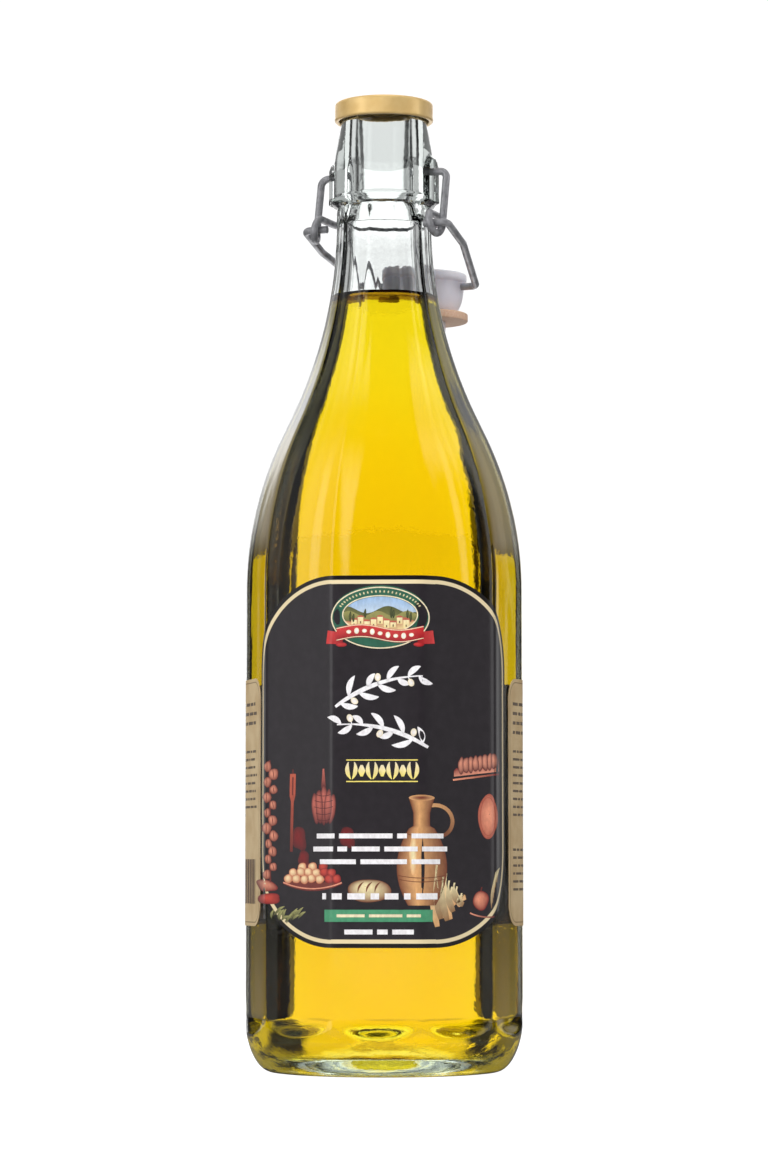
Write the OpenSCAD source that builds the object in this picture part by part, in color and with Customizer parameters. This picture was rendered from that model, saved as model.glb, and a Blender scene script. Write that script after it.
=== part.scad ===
// Ten-sided glass bottle of olive oil, one litre, with a wire swing-top closure folded
// back behind the neck and a pressed metal cap on the mouth.
// Millimetres. +Z is up, the middle of the standing ring is the origin and the front
// panel faces -Y.

/* [Body] */
// Number of flat panels around the body
sides = 10; // [10:1:10]
// Radius of the body over its corners
body_r = 44.5; // [38:0.5:54]
// Height where the shoulder leaves the straight body
shoulder_z = 153; // [130:1:184]
// Height of the heel, where the round foot grows into the panels
heel_h = 20; // [14:1:24]
// How far the heel draws in to the standing ring
heel_in = 9; // [6:0.5:11]
// Height where the panels start to flare out to the round foot
panel_foot = 18; // [14:0.5:24]
// Radius of that flare
panel_flare = 10; // [8:0.5:14]
// Height of the hollow under the base
push_up = 7; // [4:0.5:9]
// Width of the standing ring
ring_w = 6; // [4:0.5:8]
// Glass between the hollow under the base and the oil
base_glass = 5; // [4:0.5:8]
// Glass in the middle of each panel
wall = 1.7; // [1.3:0.1:3]

/* [Neck] */
// Radius of the neck over its corners, under the collar
neck_r = 15.4; // [14:0.2:18]
// Height of the collar's lower edge
collar_z = 277; // [262:1:334]
// Radius of the inside of the neck, under the bore
neck_hollow_r = 11.5; // [9.5:0.1:12]
// How steep the shoulder gets, as a share of its mean slope
steepness = 2; // [1.4:0.1:2.1]
// Radius of the bore through the mouth
bore_r = 8.4; // [7.5:0.1:9]
// From the collar's lower edge down to the oil
oil_drop = 30.3; // [16:0.1:40]

/* [Finish] */
// Radius of the collar's lower lip
collar_r = 16.9; // [16:0.1:18]
// Radius of the collar above its lip
band_r = 16.2; // [15.8:0.1:17]
// Radius of the glass just under the cap
lip_r = 13.8; // [12.5:0.1:14.2]
// Height of the whole finish, from the collar's lower edge to the mouth
finish_h = 33; // [30:0.5:38]
// Half width of each boss that holds the wire
boss_w = 4.8; // [4:0.1:6]
// Distance from the neck's axis to each boss's face
boss_face = 17.4; // [17.2:0.1:18.5]
// Height of the wire's holes above the collar's lower edge
pivot_up = 10.5; // [9:0.5:13]
// Height of the straight band above the collar's lower edge
band_h = 14; // [12:0.5:16]

/* [Cap] */
// Radius of the cap
cap_r = 16; // [15.2:0.1:16.4]
// Height of the cap
cap_h = 6.4; // [5.5:0.1:8]
// Thickness of the cap's top, with its liner
cap_top = 1; // [0.8:0.1:1.5]
// Thickness of the cap's skirt
cap_skirt = 0.9; // [0.6:0.1:1.2]

/* [Labels] */
// Height of the front label's lower edge
label_z = 39.8; // [30:0.5:50]
// Height of the front label
label_h = 114.6; // [90:0.5:116]
// Reach of the front label past its three whole panels, on average
label_reach = 6.3; // [3:0.1:9]
// Shift of the front label towards +X
label_shift = 2.1; // [0:0.1:3]
// Reach of the front label's rounded corners, across
corner_across = 31; // [10:0.5:34]
// Reach of the front label's rounded corners, up
corner_up = 29; // [10:0.5:34]
// Height of the back label's lower edge
back_z = 46; // [34:0.5:56]
// Height of the back label
back_h = 78; // [60:0.5:90]
// Radius of the back label's corners
back_corner = 7; // [3:0.5:10]
// Bare glass between the labels' edges on the -X side
gap_left = 1.8; // [1:0.1:6]
// Bare glass between the labels' edges on the +X side
gap_right = 4; // [1:0.1:8]
// Thickness of the paper
paper = 0.25; // [0.15:0.05:0.4]

/* [Closure] */
// Radius of the steel wire
wire_r = 1.2; // [1:0.05:1.3]
// Radial play of a wire in the glass holes
hole_play = 0.6; // [0.3:0.1:0.8]
// Distance from the neck's axis to the middle of each lever arm
arm_u = 21.6; // [21.6:0.1:24]
// Drop from the holes to the eyes
eye_drop = 18; // [16:0.5:20]
// Distance of the eyes in front of the holes
eye_front = 7.8; // [6:0.2:9]
// Room round the bail's wire in an eye
eye_play = 1; // [0.8:0.1:1.6]
// Reach of the handle behind the neck's axis
handle_back = 19.2; // [18.5:0.1:22]
// Bail's reach from the eyes to the stopper
bail_back = 45.3; // [42:0.1:50]
// Bail's fall from the eyes to the stopper
bail_fall = 13.6; // [10:0.1:16]
// Widest half spread of the bail's legs
bail_spread = 24.4; // [24.2:0.1:27]
// Half spread of the bail's legs at the stopper
bail_end = 18.4; // [17:0.1:22]

/* [Stopper] */
// Radius of the stopper's head
head_r = 14.2; // [12.5:0.1:15]
// Height of the head above the wire
head_up = 4.6; // [3.5:0.1:6]
// Drop from the wire to the washer's top
head_drop = 8.6; // [7:0.1:10]
// Radius of the head where the washer sits
head_foot_r = 9.4; // [8:0.1:11]
// Radius of the rubber washer
washer_r = 14.6; // [13:0.1:15.5]
// Thickness of the rubber washer
washer_h = 2.6; // [2:0.1:3.5]
// Radius of the plug under the washer
plug_r = 7.2; // [6:0.1:8]
// Length of the plug under the washer
plug_h = 4; // [3:0.1:6]
// Radial play of the bail's wire through the stopper
stopper_play = 0.08; // [0.05:0.01:0.1]

/* [Hidden] */

$fn = 96;
arc_steps = 8;      // straights in a quarter arc
wire_sides = 12;    // sides of a swept wire
coil_steps = 16;    // rings round an eye
bend_steps = 6;     // rings round a wire's bend
coil_play = 0.6;    // gap between an eye's first turn and its last
over = 1;           // how far a cutter reaches past what it cuts

panel_angle = 360 / sides;
panel_r = body_r * cos(panel_angle / 2);   // from the axis to the middle of a panel
panel_w = 2 * body_r * sin(panel_angle / 2);
closure_turn = 2 * panel_angle - 90;   // the bosses stand in the middle of a panel
mouth_z = collar_z + finish_h;
pivot_z = collar_z + pivot_up;
oil_z = collar_z - oil_drop;
eye_z = pivot_z - eye_drop;
eye_r = 2 * wire_r + eye_play;          // to the middle of the eye's wire
handle_z = eye_z + eye_r;
stopper_v = bail_back - eye_front;
stopper_z = eye_z - bail_fall;
cap_top_z = mouth_z + cap_top;
lip_z = cap_top_z - cap_h + 0.6;
bead_r = cap_r - cap_skirt - 0.5;       // the glass bead that the cap grips
washer_z = stopper_z - head_drop;
cross_r = wire_r + 0.04;                // the bail's wire where it runs through the stopper

// ---------------------------------------------------------------- profiles

// Points of an arc about [x, z], from angle a to angle b.
function arc(x, z, r, a, b, n = arc_steps) =
    [for (i = [0 : n]) let (q = a + (b - a) * i / n) [x + r * cos(q), z + r * sin(q)]];

// An S from [r0, z0], where it is upright, to [r1, z1], where it is upright again.
// Two arcs meet a short straight, which is steepness times the mean slope.
function s_curve(r0, z0, r1, z1, share = 0.44) =
    let (
        drop = r0 - r1,
        rise = z1 - z0,
        q = atan(steepness * drop / rise),
        both = (rise * sin(q) - drop * cos(q)) / (1 - cos(q)),
        lower = share * both,
        upper = both - lower
    )
    concat(arc(r0 - lower, z0, lower, 0, q), arc(r1 + upper, z1, upper, 180 + q, 180));

// Distance of a panel from the axis, against height: a flare at the foot, the straight
// body, the shoulder and the neck.
flat_share = cos(panel_angle / 2);
panel_outline = concat(
    arc(panel_r + panel_flare, panel_foot, panel_flare, 225, 180),
    s_curve(panel_r, shoulder_z, neck_r * flat_share, collar_z - 5),
    [[neck_r * flat_share, collar_z + over]]);

// The round foot: a quarter ellipse from the standing ring out to the corners.
foot_outline = concat(
    [for (i = [0 : arc_steps]) let (q = 90 * i / arc_steps)
        [body_r - heel_in + (heel_in + 0.01) * sin(q), heel_h * (1 - cos(q))]],
    [[body_r + over, heel_h + over], [body_r + over, collar_z + 2 * over],
     [0, collar_z + 2 * over], [0, 0]]);

// The inside of the glass, from the domed bottom up through the bore.
hollow_r = panel_r - wall;
hollow_corner = 11;                     // radius at the bottom of the inside
hollow_z = push_up + base_glass;        // top of the domed bottom
dome_r = hollow_r - hollow_corner;
dome_drop = 4.5;                        // from the dome's top to the moat round it
flare_h = 6;                            // from the end of the bore to the wider neck
function hollow_outline(top) = concat(
    [[0, hollow_z]],
    [for (i = [1 : arc_steps]) let (t = i / arc_steps)
        [dome_r * t, hollow_z - dome_drop * (1 - cos(180 * t)) / 2]],
    arc(dome_r, hollow_z - dome_drop + hollow_corner, hollow_corner, -78.75, 0, 7),
    s_curve(hollow_r, shoulder_z - 2, neck_hollow_r, collar_z - flare_h - 4),
    [[neck_hollow_r, collar_z - flare_h], [bore_r, collar_z + 3], [bore_r, top], [0, top]]);

// ---------------------------------------------------------------- bottle

// One outline swept straight across, for a pair of opposite panels.
module panel_pair() {
    side = concat([[body_r + 2 * over, 0], [body_r + 2 * over, panel_outline[0][1]]], panel_outline);
    other = [for (i = [len(side) - 1 : -1 : 0]) [-side[i][0], side[i][1]]];
    rotate([90, 0, 0])
        linear_extrude(height = 2 * body_r + 4 * over, center = true)
            polygon(concat(side, other));
}

module panels() {
    intersection_for (k = [0 : sides / 2 - 1])
        rotate([0, 0, 90 + k * panel_angle]) panel_pair();
}

// Collar, lip and the taper up to the mouth, as one turned form.
module finish() {
    rotate_extrude()
        polygon([
            [0, collar_z - 1], [neck_r - 0.6, collar_z - 1], [collar_r - 0.7, collar_z],
            [collar_r, collar_z + 0.8], [collar_r, collar_z + 2], [band_r, collar_z + 3],
            [band_r, collar_z + band_h], [band_r - 0.4, collar_z + band_h + 3],
            [lip_r, lip_z - 0.6], [lip_r, lip_z + 0.8],
            [bead_r, lip_z + 1.8], [bead_r, mouth_z - 0.8], [bead_r - 0.8, mouth_z],
            [0, mouth_z]
        ]);
}

// A round-topped pad on the collar that the wire's end goes into.
module boss() {
    translate([0, 0, pivot_z]) rotate([0, 90, 0]) cylinder(r = boss_w, h = boss_face);
    translate([0, -boss_w, collar_z + 1]) cube([boss_face, 2 * boss_w, pivot_z - collar_z - 1]);
}

module pivot_hole() {
    translate([bore_r + 2.4, 0, pivot_z]) rotate([0, 90, 0])
        cylinder(r = wire_r + hole_play, h = boss_face);
}

// The hollow under the base, a shallow dome inside the standing ring.
module under_base() {
    ring_in = body_r - heel_in - ring_w;
    rotate_extrude()
        polygon(concat([[0, -over], [ring_in, -over]],
            [for (i = [0 : arc_steps]) let (t = 1 - i / arc_steps)
                [ring_in * t, push_up * (1 + cos(180 * t)) / 2]]));
}

module hollow(top) {
    rotate_extrude() polygon(hollow_outline(top));
}

module bottle() {
    color([0.8, 0.87, 0.83, 0.4])
    difference() {
        union() {
            intersection() {
                panels();
                rotate_extrude() polygon(foot_outline);
            }
            finish();
            rotate([0, 0, closure_turn]) {
                boss();
                mirror([1, 0, 0]) boss();
            }
        }
        hollow(mouth_z + over);
        under_base();
        rotate([0, 0, closure_turn]) {
            pivot_hole();
            mirror([1, 0, 0]) pivot_hole();
        }
    }
}

module oil() {
    color([0.93, 0.76, 0.02])
    intersection() {
        hollow(mouth_z);
        cylinder(r = body_r, h = oil_z);
    }
}

// ---------------------------------------------------------------- cap

module cap() {
    low = cap_top_z - cap_h;
    color([0.79, 0.63, 0.36])
    rotate_extrude()
        polygon(concat(
            [[0, mouth_z], [cap_r - cap_skirt, mouth_z], [cap_r - cap_skirt, low + 1.6],
             [cap_r - 1.7, low + 0.9], [cap_r - 1.5, low + 0.2], [cap_r - 0.9, low],
             [cap_r - 0.3, low + 0.3], [cap_r, low + 1]],
            arc(cap_r - 1, cap_top_z - 1, 1, 0, 90, 5),
            [[0, cap_top_z]]));
}

// ---------------------------------------------------------------- labels

// A closed band of paper around the panels.
module band(h) {
    linear_extrude(height = h)
        difference() {
            circle(r = (panel_r + paper) / cos(panel_angle / 2), $fn = sides);
            circle(r = body_r, $fn = sides);
        }
}

// Where a distance along the panels, from the middle of the front, lies seen from the front.
function seen_x(s) =
    let (k = round(s / panel_w)) panel_r * sin(k * panel_angle) + (s - k * panel_w) * cos(k * panel_angle);

// Outline of a sheet of half width w, whose corners are quarter ellipses.
function sheet_outline(w, h, corner) =
    let (
        upper = [for (i = [0 : 2 * arc_steps]) let (q = 45 * i / arc_steps)
            [w - corner[0] * (1 - cos(q)), h - corner[1] * (1 - sin(q))]],
        right = concat([for (i = [len(upper) - 1 : -1 : 0]) [upper[i][0], h - upper[i][1]]], upper)
    )
    concat(right, [for (i = [len(right) - 1 : -1 : 0]) [-right[i][0], right[i][1]]]);

module front_label() {
    half = 1.5 * panel_w + label_reach;
    outline = [for (p = sheet_outline(half, label_h, [corner_across, corner_up])) [seen_x(p[0] + label_shift), p[1]]];
    color([0.1, 0.09, 0.1])
    translate([0, 0, label_z])
    intersection() {
        band(label_h);
        rotate([90, 0, 0]) linear_extrude(height = 2 * body_r) polygon(outline);
    }
}

// What the back label's rounded end leaves bare on the side panel: everything up to
// `reach` from the panel's edge, and the two corners.
module back_end(reach) {
    r = back_corner;
    round_end = concat(
        [[-panel_w, -over], [reach + r, -over], [reach + r, 0]],
        [for (i = [1 : arc_steps]) let (q = 90 * i / arc_steps) [reach + r - r * sin(q), r - r * cos(q)]],
        [for (i = [0 : arc_steps]) let (q = 90 * i / arc_steps)
            [reach + r - r * cos(q), back_h - r + r * sin(q)]],
        [[reach + r, back_h + over], [-panel_w, back_h + over]]);
    rotate([0, 0, 2 * panel_angle])
        translate([-panel_w / 2, -panel_r, 0])
            rotate([90, 0, 0])
                linear_extrude(height = 1, center = true) polygon(round_end);
}

// The space before the two corners where the back label's side panels begin.
module front_panels() {
    corner_x = body_r * sin(1.5 * panel_angle);
    corner_y = body_r * cos(1.5 * panel_angle);
    translate([-corner_x - over, -2 * body_r, -over])
        cube([2 * (corner_x + over), 2 * body_r - corner_y, back_h + 2 * over]);
}

module back_label() {
    bare_right = label_reach + label_shift + gap_right;
    bare_left = label_reach - label_shift + gap_left;
    color([0.77, 0.68, 0.52])
    translate([0, 0, back_z])
    difference() {
        band(back_h);
        front_panels();
        back_end(bare_right);
        mirror([1, 0, 0]) back_end(bare_left);
    }
}

// ---------------------------------------------------------------- wires

function unit(v) = v / norm(v);

// An arc of radius r that rounds the corner b between points a and c.
function bend(a, b, c, r, n = bend_steps) =
    let (
        go = unit(b - a),
        leave = unit(c - b),
        turn = acos(max(-1, min(1, go * leave))),
        start = b - go * r * tan(turn / 2),
        side = unit(leave - (go * leave) * go)
    )
    [for (i = [0 : n]) let (q = turn * i / n) start + r * sin(q) * go + r * (1 - cos(q)) * side];

// Corner points joined by straights, with every inner corner rounded.
function route(points, r) = concat([points[0]],
    [for (i = [1 : len(points) - 2]) each bend(points[i - 1], points[i], points[i + 1], r)],
    [points[len(points) - 1]]);

function flip(points) = [for (i = [len(points) - 1 : -1 : 0])
    [-points[i][0], points[i][1], points[i][2]]];

function along(p, i) = unit(p[min(i + 1, len(p) - 1)] - p[max(i - 1, 0)]);

function level(v, t) = unit(v - (v * t) * t);

// A round wire swept along a path, its rings carried on without twist.
module wire(path, r) {
    n = len(path);
    s = wire_sides;
    normals = [for (i = 0, v = level([0.1, 0.2, 1], along(path, 0)); i < n;
                    i = i + 1, v = level(v, along(path, min(i, n - 1)))) v];
    rings = [for (i = [0 : n - 1]) let (t = along(path, i), v = normals[i], w = cross(t, v))
        for (k = [0 : s - 1]) path[i] + r * (cos(360 * k / s) * v + sin(360 * k / s) * w)];
    faces = concat(
        [[for (k = [0 : s - 1]) k]],
        [for (i = [0 : n - 2], k = [0 : s - 1])
            [i * s + k, i * s + s + k, i * s + s + (k + 1) % s, i * s + (k + 1) % s]],
        [[for (k = [s - 1 : -1 : 0]) (n - 1) * s + k]]);
    polyhedron(rings, faces);
}

// Half of the lever, from the hole on the +X side to the middle of the handle: out of
// the boss, down the arm to the back of the eye, round the eye and on behind the neck.
pin_u = bore_r + 3.4;
coil_end_u = arm_u - 2 * wire_r - coil_play;
coil = [for (i = [0 : coil_steps]) let (t = i / coil_steps, q = -10 - 260 * t)
    [arm_u + (coil_end_u - arm_u) * t, -eye_front + eye_r * cos(q), eye_z + eye_r * sin(q)]];
lever_arm = route([[pin_u, 0, pivot_z], [arm_u, 0, pivot_z], coil[0]], 2.4);
handle = [for (i = [0 : 2 * bend_steps]) let (q = 45 * i / bend_steps)
    [coil_end_u * cos(q), handle_back - coil_end_u * (1 - sin(q)), handle_z]];
lever_half = concat(lever_arm, [for (i = [1 : coil_steps]) coil[i]], handle);

module lever() {
    color([0.62, 0.62, 0.63])
    rotate([0, 0, closure_turn])
        wire(concat(lever_half, [for (i = [1 : len(lever_half) - 1]) flip(lever_half)[i]]), wire_r);
}

// Half of the bail, from its end inside the +X eye to the middle of the stopper.
bail_tip_u = coil_end_u - wire_r - 0.8;
bail_straight = 0.34;   // share of each leg that keeps the widest spread
bail_half = route([
    [bail_tip_u, -eye_front, eye_z],
    [bail_spread, -eye_front, eye_z],
    [bail_spread, -eye_front + bail_back * bail_straight, eye_z - bail_fall * bail_straight],
    [bail_end, stopper_v, stopper_z],
    [0, stopper_v, stopper_z]
], 2);

module bail() {
    color([0.62, 0.62, 0.63])
    rotate([0, 0, closure_turn]) {
        wire(concat(bail_half, [for (i = [1 : len(bail_half) - 1]) flip(bail_half)[i]]), wire_r);
        translate([0, stopper_v, stopper_z]) rotate([0, 90, 0])
            cylinder(r = cross_r, h = 2 * head_r, center = true);
    }
}

// ---------------------------------------------------------------- stopper

module stopper() {
    plug_z = washer_z - washer_h - plug_h;
    waist_r = plug_r - 1.2;
    color([0.93, 0.92, 0.93])
    rotate([0, 0, closure_turn])
    translate([0, stopper_v, 0])
    difference() {
        rotate_extrude()
            polygon(concat(
                [[0, plug_z], [plug_r - 1, plug_z], [plug_r, plug_z + 1],
                 [plug_r, washer_z - washer_h], [waist_r, washer_z - washer_h],
                 [waist_r, washer_z], [head_foot_r, washer_z]],
                [for (i = [1 : arc_steps]) let (q = 90 * i / arc_steps)
                    [head_foot_r + (head_r - 0.9 - head_foot_r) * sin(q),
                     stopper_z + 1.4 - (head_drop + 1.4) * cos(q)]],
                [[head_r - 0.1, stopper_z + 2], [head_r, stopper_z + 2.6]],
                arc(head_r - 0.8, stopper_z + head_up - 0.8, 0.8, 0, 90, 4),
                [[0, stopper_z + head_up]]));
        translate([0, 0, stopper_z]) rotate([0, 90, 0])
            cylinder(r = cross_r + stopper_play, h = 3 * head_r, center = true);
    }
}

module gasket() {
    color([0.88, 0.76, 0.68])
    rotate([0, 0, closure_turn])
    translate([0, stopper_v, washer_z - washer_h])
    difference() {
        cylinder(r = washer_r, h = washer_h);
        translate([0, 0, -over]) cylinder(r = plug_r - 1.2, h = washer_h + 2 * over);
    }
}

bottle();
oil();
cap();
front_label();
back_label();
lever();
bail();
stopper();
gasket();
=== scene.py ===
import logging
import math
import random
from dataclasses import dataclass, field
from enum import Enum
from typing import Callable, Sequence

import bpy
import numpy as np
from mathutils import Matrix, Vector


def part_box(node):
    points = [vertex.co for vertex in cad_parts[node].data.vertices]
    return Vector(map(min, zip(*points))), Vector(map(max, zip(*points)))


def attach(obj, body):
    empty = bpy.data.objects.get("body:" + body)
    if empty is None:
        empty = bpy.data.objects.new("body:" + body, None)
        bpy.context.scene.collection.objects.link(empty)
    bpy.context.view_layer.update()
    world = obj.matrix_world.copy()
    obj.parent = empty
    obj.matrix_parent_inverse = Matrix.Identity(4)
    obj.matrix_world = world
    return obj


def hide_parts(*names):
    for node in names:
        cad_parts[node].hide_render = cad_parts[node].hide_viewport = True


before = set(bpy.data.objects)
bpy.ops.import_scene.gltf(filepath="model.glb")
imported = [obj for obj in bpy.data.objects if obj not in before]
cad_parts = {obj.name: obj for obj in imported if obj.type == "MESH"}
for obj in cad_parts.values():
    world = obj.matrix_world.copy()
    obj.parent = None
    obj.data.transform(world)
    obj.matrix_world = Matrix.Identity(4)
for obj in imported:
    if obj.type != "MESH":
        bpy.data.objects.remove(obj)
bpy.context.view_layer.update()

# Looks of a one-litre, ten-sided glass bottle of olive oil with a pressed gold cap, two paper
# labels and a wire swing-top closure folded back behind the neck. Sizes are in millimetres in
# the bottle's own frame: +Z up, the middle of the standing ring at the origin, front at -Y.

MM = 0.001
LOG = logging.getLogger("oil_bottle")

Path = list[tuple[float, float]]


def srgb(red: int, green: int, blue: int) -> tuple[float, float, float, float]:
    """Linear colour, with full alpha, of a display colour given from 0 to 255."""
    def linear(level: float) -> float:
        """Linear value of one display level."""
        level = level / 255
        return level / 12.92 if level <= 0.04045 else ((level + 0.055) / 1.055) ** 2.4
    return linear(red), linear(green), linear(blue), 1.0


# ---------------------------------------------------------------------------- shader helpers


class Value:
    """A shader number that Python's operators work on. Each operation adds a Math node."""

    def __init__(self, recipe: "Recipe", socket: bpy.types.NodeSocket) -> None:
        """Keeps the socket and the recipe that it belongs to."""
        self.recipe = recipe
        self.socket = socket

    def _math(self, operation: str, *operands: "Value | float") -> "Value":
        """Adds one Math node over the operands, in their order."""
        inputs = dict(enumerate(operands))
        return self.recipe.add("ShaderNodeMath", {"operation": operation}, inputs)

    def __add__(self, other: "Value | float") -> "Value":
        """self + other."""
        return self._math("ADD", self, other)

    def __radd__(self, other: float) -> "Value":
        """other + self."""
        return self._math("ADD", other, self)

    def __sub__(self, other: "Value | float") -> "Value":
        """self - other."""
        return self._math("SUBTRACT", self, other)

    def __rsub__(self, other: float) -> "Value":
        """other - self."""
        return self._math("SUBTRACT", other, self)

    def __mul__(self, other: "Value | float") -> "Value":
        """self * other."""
        return self._math("MULTIPLY", self, other)

    def __rmul__(self, other: float) -> "Value":
        """other * self."""
        return self._math("MULTIPLY", other, self)

    def __truediv__(self, other: "Value | float") -> "Value":
        """self / other."""
        return self._math("DIVIDE", self, other)

    def __pow__(self, other: "Value | float") -> "Value":
        """self ** other."""
        return self._math("POWER", self, other)

    def __abs__(self) -> "Value":
        """The size of self."""
        return self._math("ABSOLUTE", self)

    def at_least(self, other: "Value | float") -> "Value":
        """The larger of self and other."""
        return self._math("MAXIMUM", self, other)

    def at_most(self, other: "Value | float") -> "Value":
        """The smaller of self and other."""
        return self._math("MINIMUM", self, other)

    def rise(self, low: float, high: float) -> "Value":
        """A smooth step: 0 at low and 1 at high, which may be the smaller."""
        return self.recipe.add(
            "ShaderNodeMapRange", {"interpolation_type": "SMOOTHSTEP"},
            {"Value": self, "From Min": low, "From Max": high})


class Recipe:
    """Builds the node tree of one material or world."""

    def __init__(self, tree: bpy.types.NodeTree) -> None:
        """Takes a tree and clears it."""
        self.tree = tree
        tree.nodes.clear()

    def add(self, kind: str, settings: dict | None = None, inputs: dict | None = None,
            output: int | str = 0) -> Value:
        """Adds one node.

        Args:
            kind: The node's type.
            settings: Its properties, set first. "stops" holds a ramp's (place, colour) pairs.
            inputs: Values or links, by the socket's name or index.
            output: Which output to hand back.

        Returns:
            The output, ready for maths.
        """
        node = self.tree.nodes.new(kind)
        for name, setting in (settings or {}).items():
            if name == "stops":
                ramp = node.color_ramp
                while len(ramp.elements) < len(setting):
                    ramp.elements.new(0.5)
                for element, (place, colour) in zip(ramp.elements, setting):
                    element.position = place
                    element.color = colour
            else:
                setattr(node, name, setting)
        for key, given in (inputs or {}).items():
            if isinstance(given, Value):
                self.tree.links.new(given.socket, node.inputs[key])
            else:
                node.inputs[key].default_value = given
        return Value(self, node.outputs[output])

    def place(self) -> Value:
        """Where a point of the piece lies, in millimetres."""
        point = self.add("ShaderNodeTexCoord", output="Object")
        return self.add("ShaderNodeVectorMath", {"operation": "SCALE"}, {0: point, "Scale": 1 / MM})

    def split(self, vector: Value) -> tuple[Value, Value, Value]:
        """The three numbers of a vector."""
        first = self.add("ShaderNodeSeparateXYZ", inputs={0: vector})
        outputs = first.socket.node.outputs
        return first, Value(self, outputs[1]), Value(self, outputs[2])

    def stretch(self, vector: Value, scale: tuple[float, float, float]) -> Value:
        """A vector with each of its numbers scaled."""
        return self.add("ShaderNodeVectorMath", {"operation": "MULTIPLY"}, {0: vector, 1: scale})

    def noise(self, vector: Value, scale: float, detail: float = 2.0, rough: float = 0.5) -> Value:
        """Cloudy noise from 0 to 1, over a vector in millimetres."""
        return self.add("ShaderNodeTexNoise", inputs={
            "Vector": vector, "Scale": scale, "Detail": detail, "Roughness": rough})

    def blend(self, factor: Value | float, first: Value | tuple, second: Value | tuple,
              mode: str = "MIX") -> Value:
        """Mixes two colours."""
        return self.add("ShaderNodeMix", {"data_type": "RGBA", "blend_type": mode},
                        {0: factor, 6: first, 7: second}, output=2)

    def relief(self, height: Value, strength: float, distance: float) -> Value:
        """A bump from a height, its distance in millimetres."""
        return self.add("ShaderNodeBump", inputs={
            "Height": height, "Strength": strength, "Distance": distance * MM})

    def surface(self, volume: Value | None = None, **sockets: Value | float | tuple) -> None:
        """Ends a material with a Principled shader.

        Args:
            volume: A shader for the volume.
            sockets: The shader's values, with underscores for the spaces of their names.
        """
        named = {name.replace("_", " "): given for name, given in sockets.items()}
        shader = self.add("ShaderNodeBsdfPrincipled", inputs=named)
        ends = {"Surface": shader}
        if volume is not None:
            ends["Volume"] = volume
        node = self.tree.nodes.new("ShaderNodeOutputMaterial")
        for name, value in ends.items():
            self.tree.links.new(value.socket, node.inputs[name])


# ---------------------------------------------------------------------------- finishes


class Finish:
    """A finish, which makes its material once and then hands out the same one."""

    def material(self) -> bpy.types.Material:
        """The material of this finish."""
        name = f"{type(self).__name__}_{abs(hash(self)) % 9973}"
        found = bpy.data.materials.get(name)
        if found is None:
            found = bpy.data.materials.new(name)
            found.use_nodes = True
            self.build(Recipe(found.node_tree))
        return found

    def build(self, recipe: Recipe) -> None:
        """Writes the finish's nodes."""
        raise NotImplementedError


@dataclass(frozen=True)
class ClearGlass(Finish):
    """Pressed soda glass: clear, a little wavy, pale green where it is thick."""

    tint: tuple = (0.80, 0.94, 0.87, 1.0)
    density: float = 14.0
    ripple: float = 0.16
    ring_top: float = 1.1
    neck_painted_shade: tuple = (0.885, 0.895, 0.893, 1.0)
    neck_from: float = 242.0
    neck_to: float = 252.0

    def build(self, recipe: Recipe) -> None:
        """Ripples from the mould, a stippled standing ring, painted grey shade on the neck, and
        absorption inside.
        """
        point = recipe.place()
        _, _, height = recipe.split(point)
        slow = recipe.noise(recipe.stretch(point, (1, 1, 0.35)), 0.11, 1.0)
        orange_peel = recipe.noise(point, 0.55, 2.0)
        stipple = recipe.noise(point, 2.6, 0.0) * height.rise(self.ring_top, 0.2)
        waves = slow * 1.0 + orange_peel * 0.12 + stipple * 3.0
        # Painted shade: the glass turns a little grey from just under the oil's level up, for the
        # grey that the empty neck shows.
        colour = recipe.blend(height.rise(self.neck_from, self.neck_to),
                              (0.992, 0.998, 0.995, 1), self.neck_painted_shade)
        absorb = recipe.add("ShaderNodeVolumeAbsorption", inputs={
            "Color": self.tint, "Density": self.density})
        recipe.surface(
            volume=absorb, Base_Color=colour, Roughness=0.0, IOR=1.5,
            Transmission_Weight=1.0, Normal=recipe.relief(waves, self.ripple, 1.0))


@dataclass(frozen=True)
class OliveOil(Finish):
    """Clear golden oil, which takes its colour from its depth.

    The edge of its surface carries a painted dark band of shade, where the real oil bends light
    away.
    """

    level: float
    rim_r: float
    tint: tuple = (0.9975, 0.928, 0.0, 1.0)
    density: float = 92.0
    meniscus_shade_colour: tuple = srgb(110, 76, 42)

    def build(self, recipe: Recipe) -> None:
        """A clear liquid whose colour turns deeper yellow towards its top, with a painted dark band
        of shade round the edge of its surface.
        """
        point = recipe.place()
        across, back, height = recipe.split(point)
        tint_noise = recipe.noise(recipe.stretch(point, (1, 1, 0.3)), 0.02, 2.0)
        near_top = (tint_noise * 20 + height).rise(165, 250)
        colour = recipe.blend(near_top, (1, 0.985, 0.7, 1), (0.98, 0.87, 0.08, 1))
        # Painted shade: a dark band round the edge of the surface, standing in for the light that
        # the meniscus bends away.
        out = (across * across + back * back) ** 0.5
        rim = out.rise(self.rim_r - 1.6, self.rim_r - 0.6)
        rim = rim * height.rise(self.level - 1.6, self.level - 0.6)
        colour = recipe.blend(rim, colour, self.meniscus_shade_colour)
        absorb = recipe.add("ShaderNodeVolumeAbsorption", inputs={
            "Color": self.tint, "Density": self.density})
        recipe.surface(volume=absorb, Base_Color=colour, Roughness=0.0, IOR=1.467,
                       Transmission_Weight=1.0)


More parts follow.
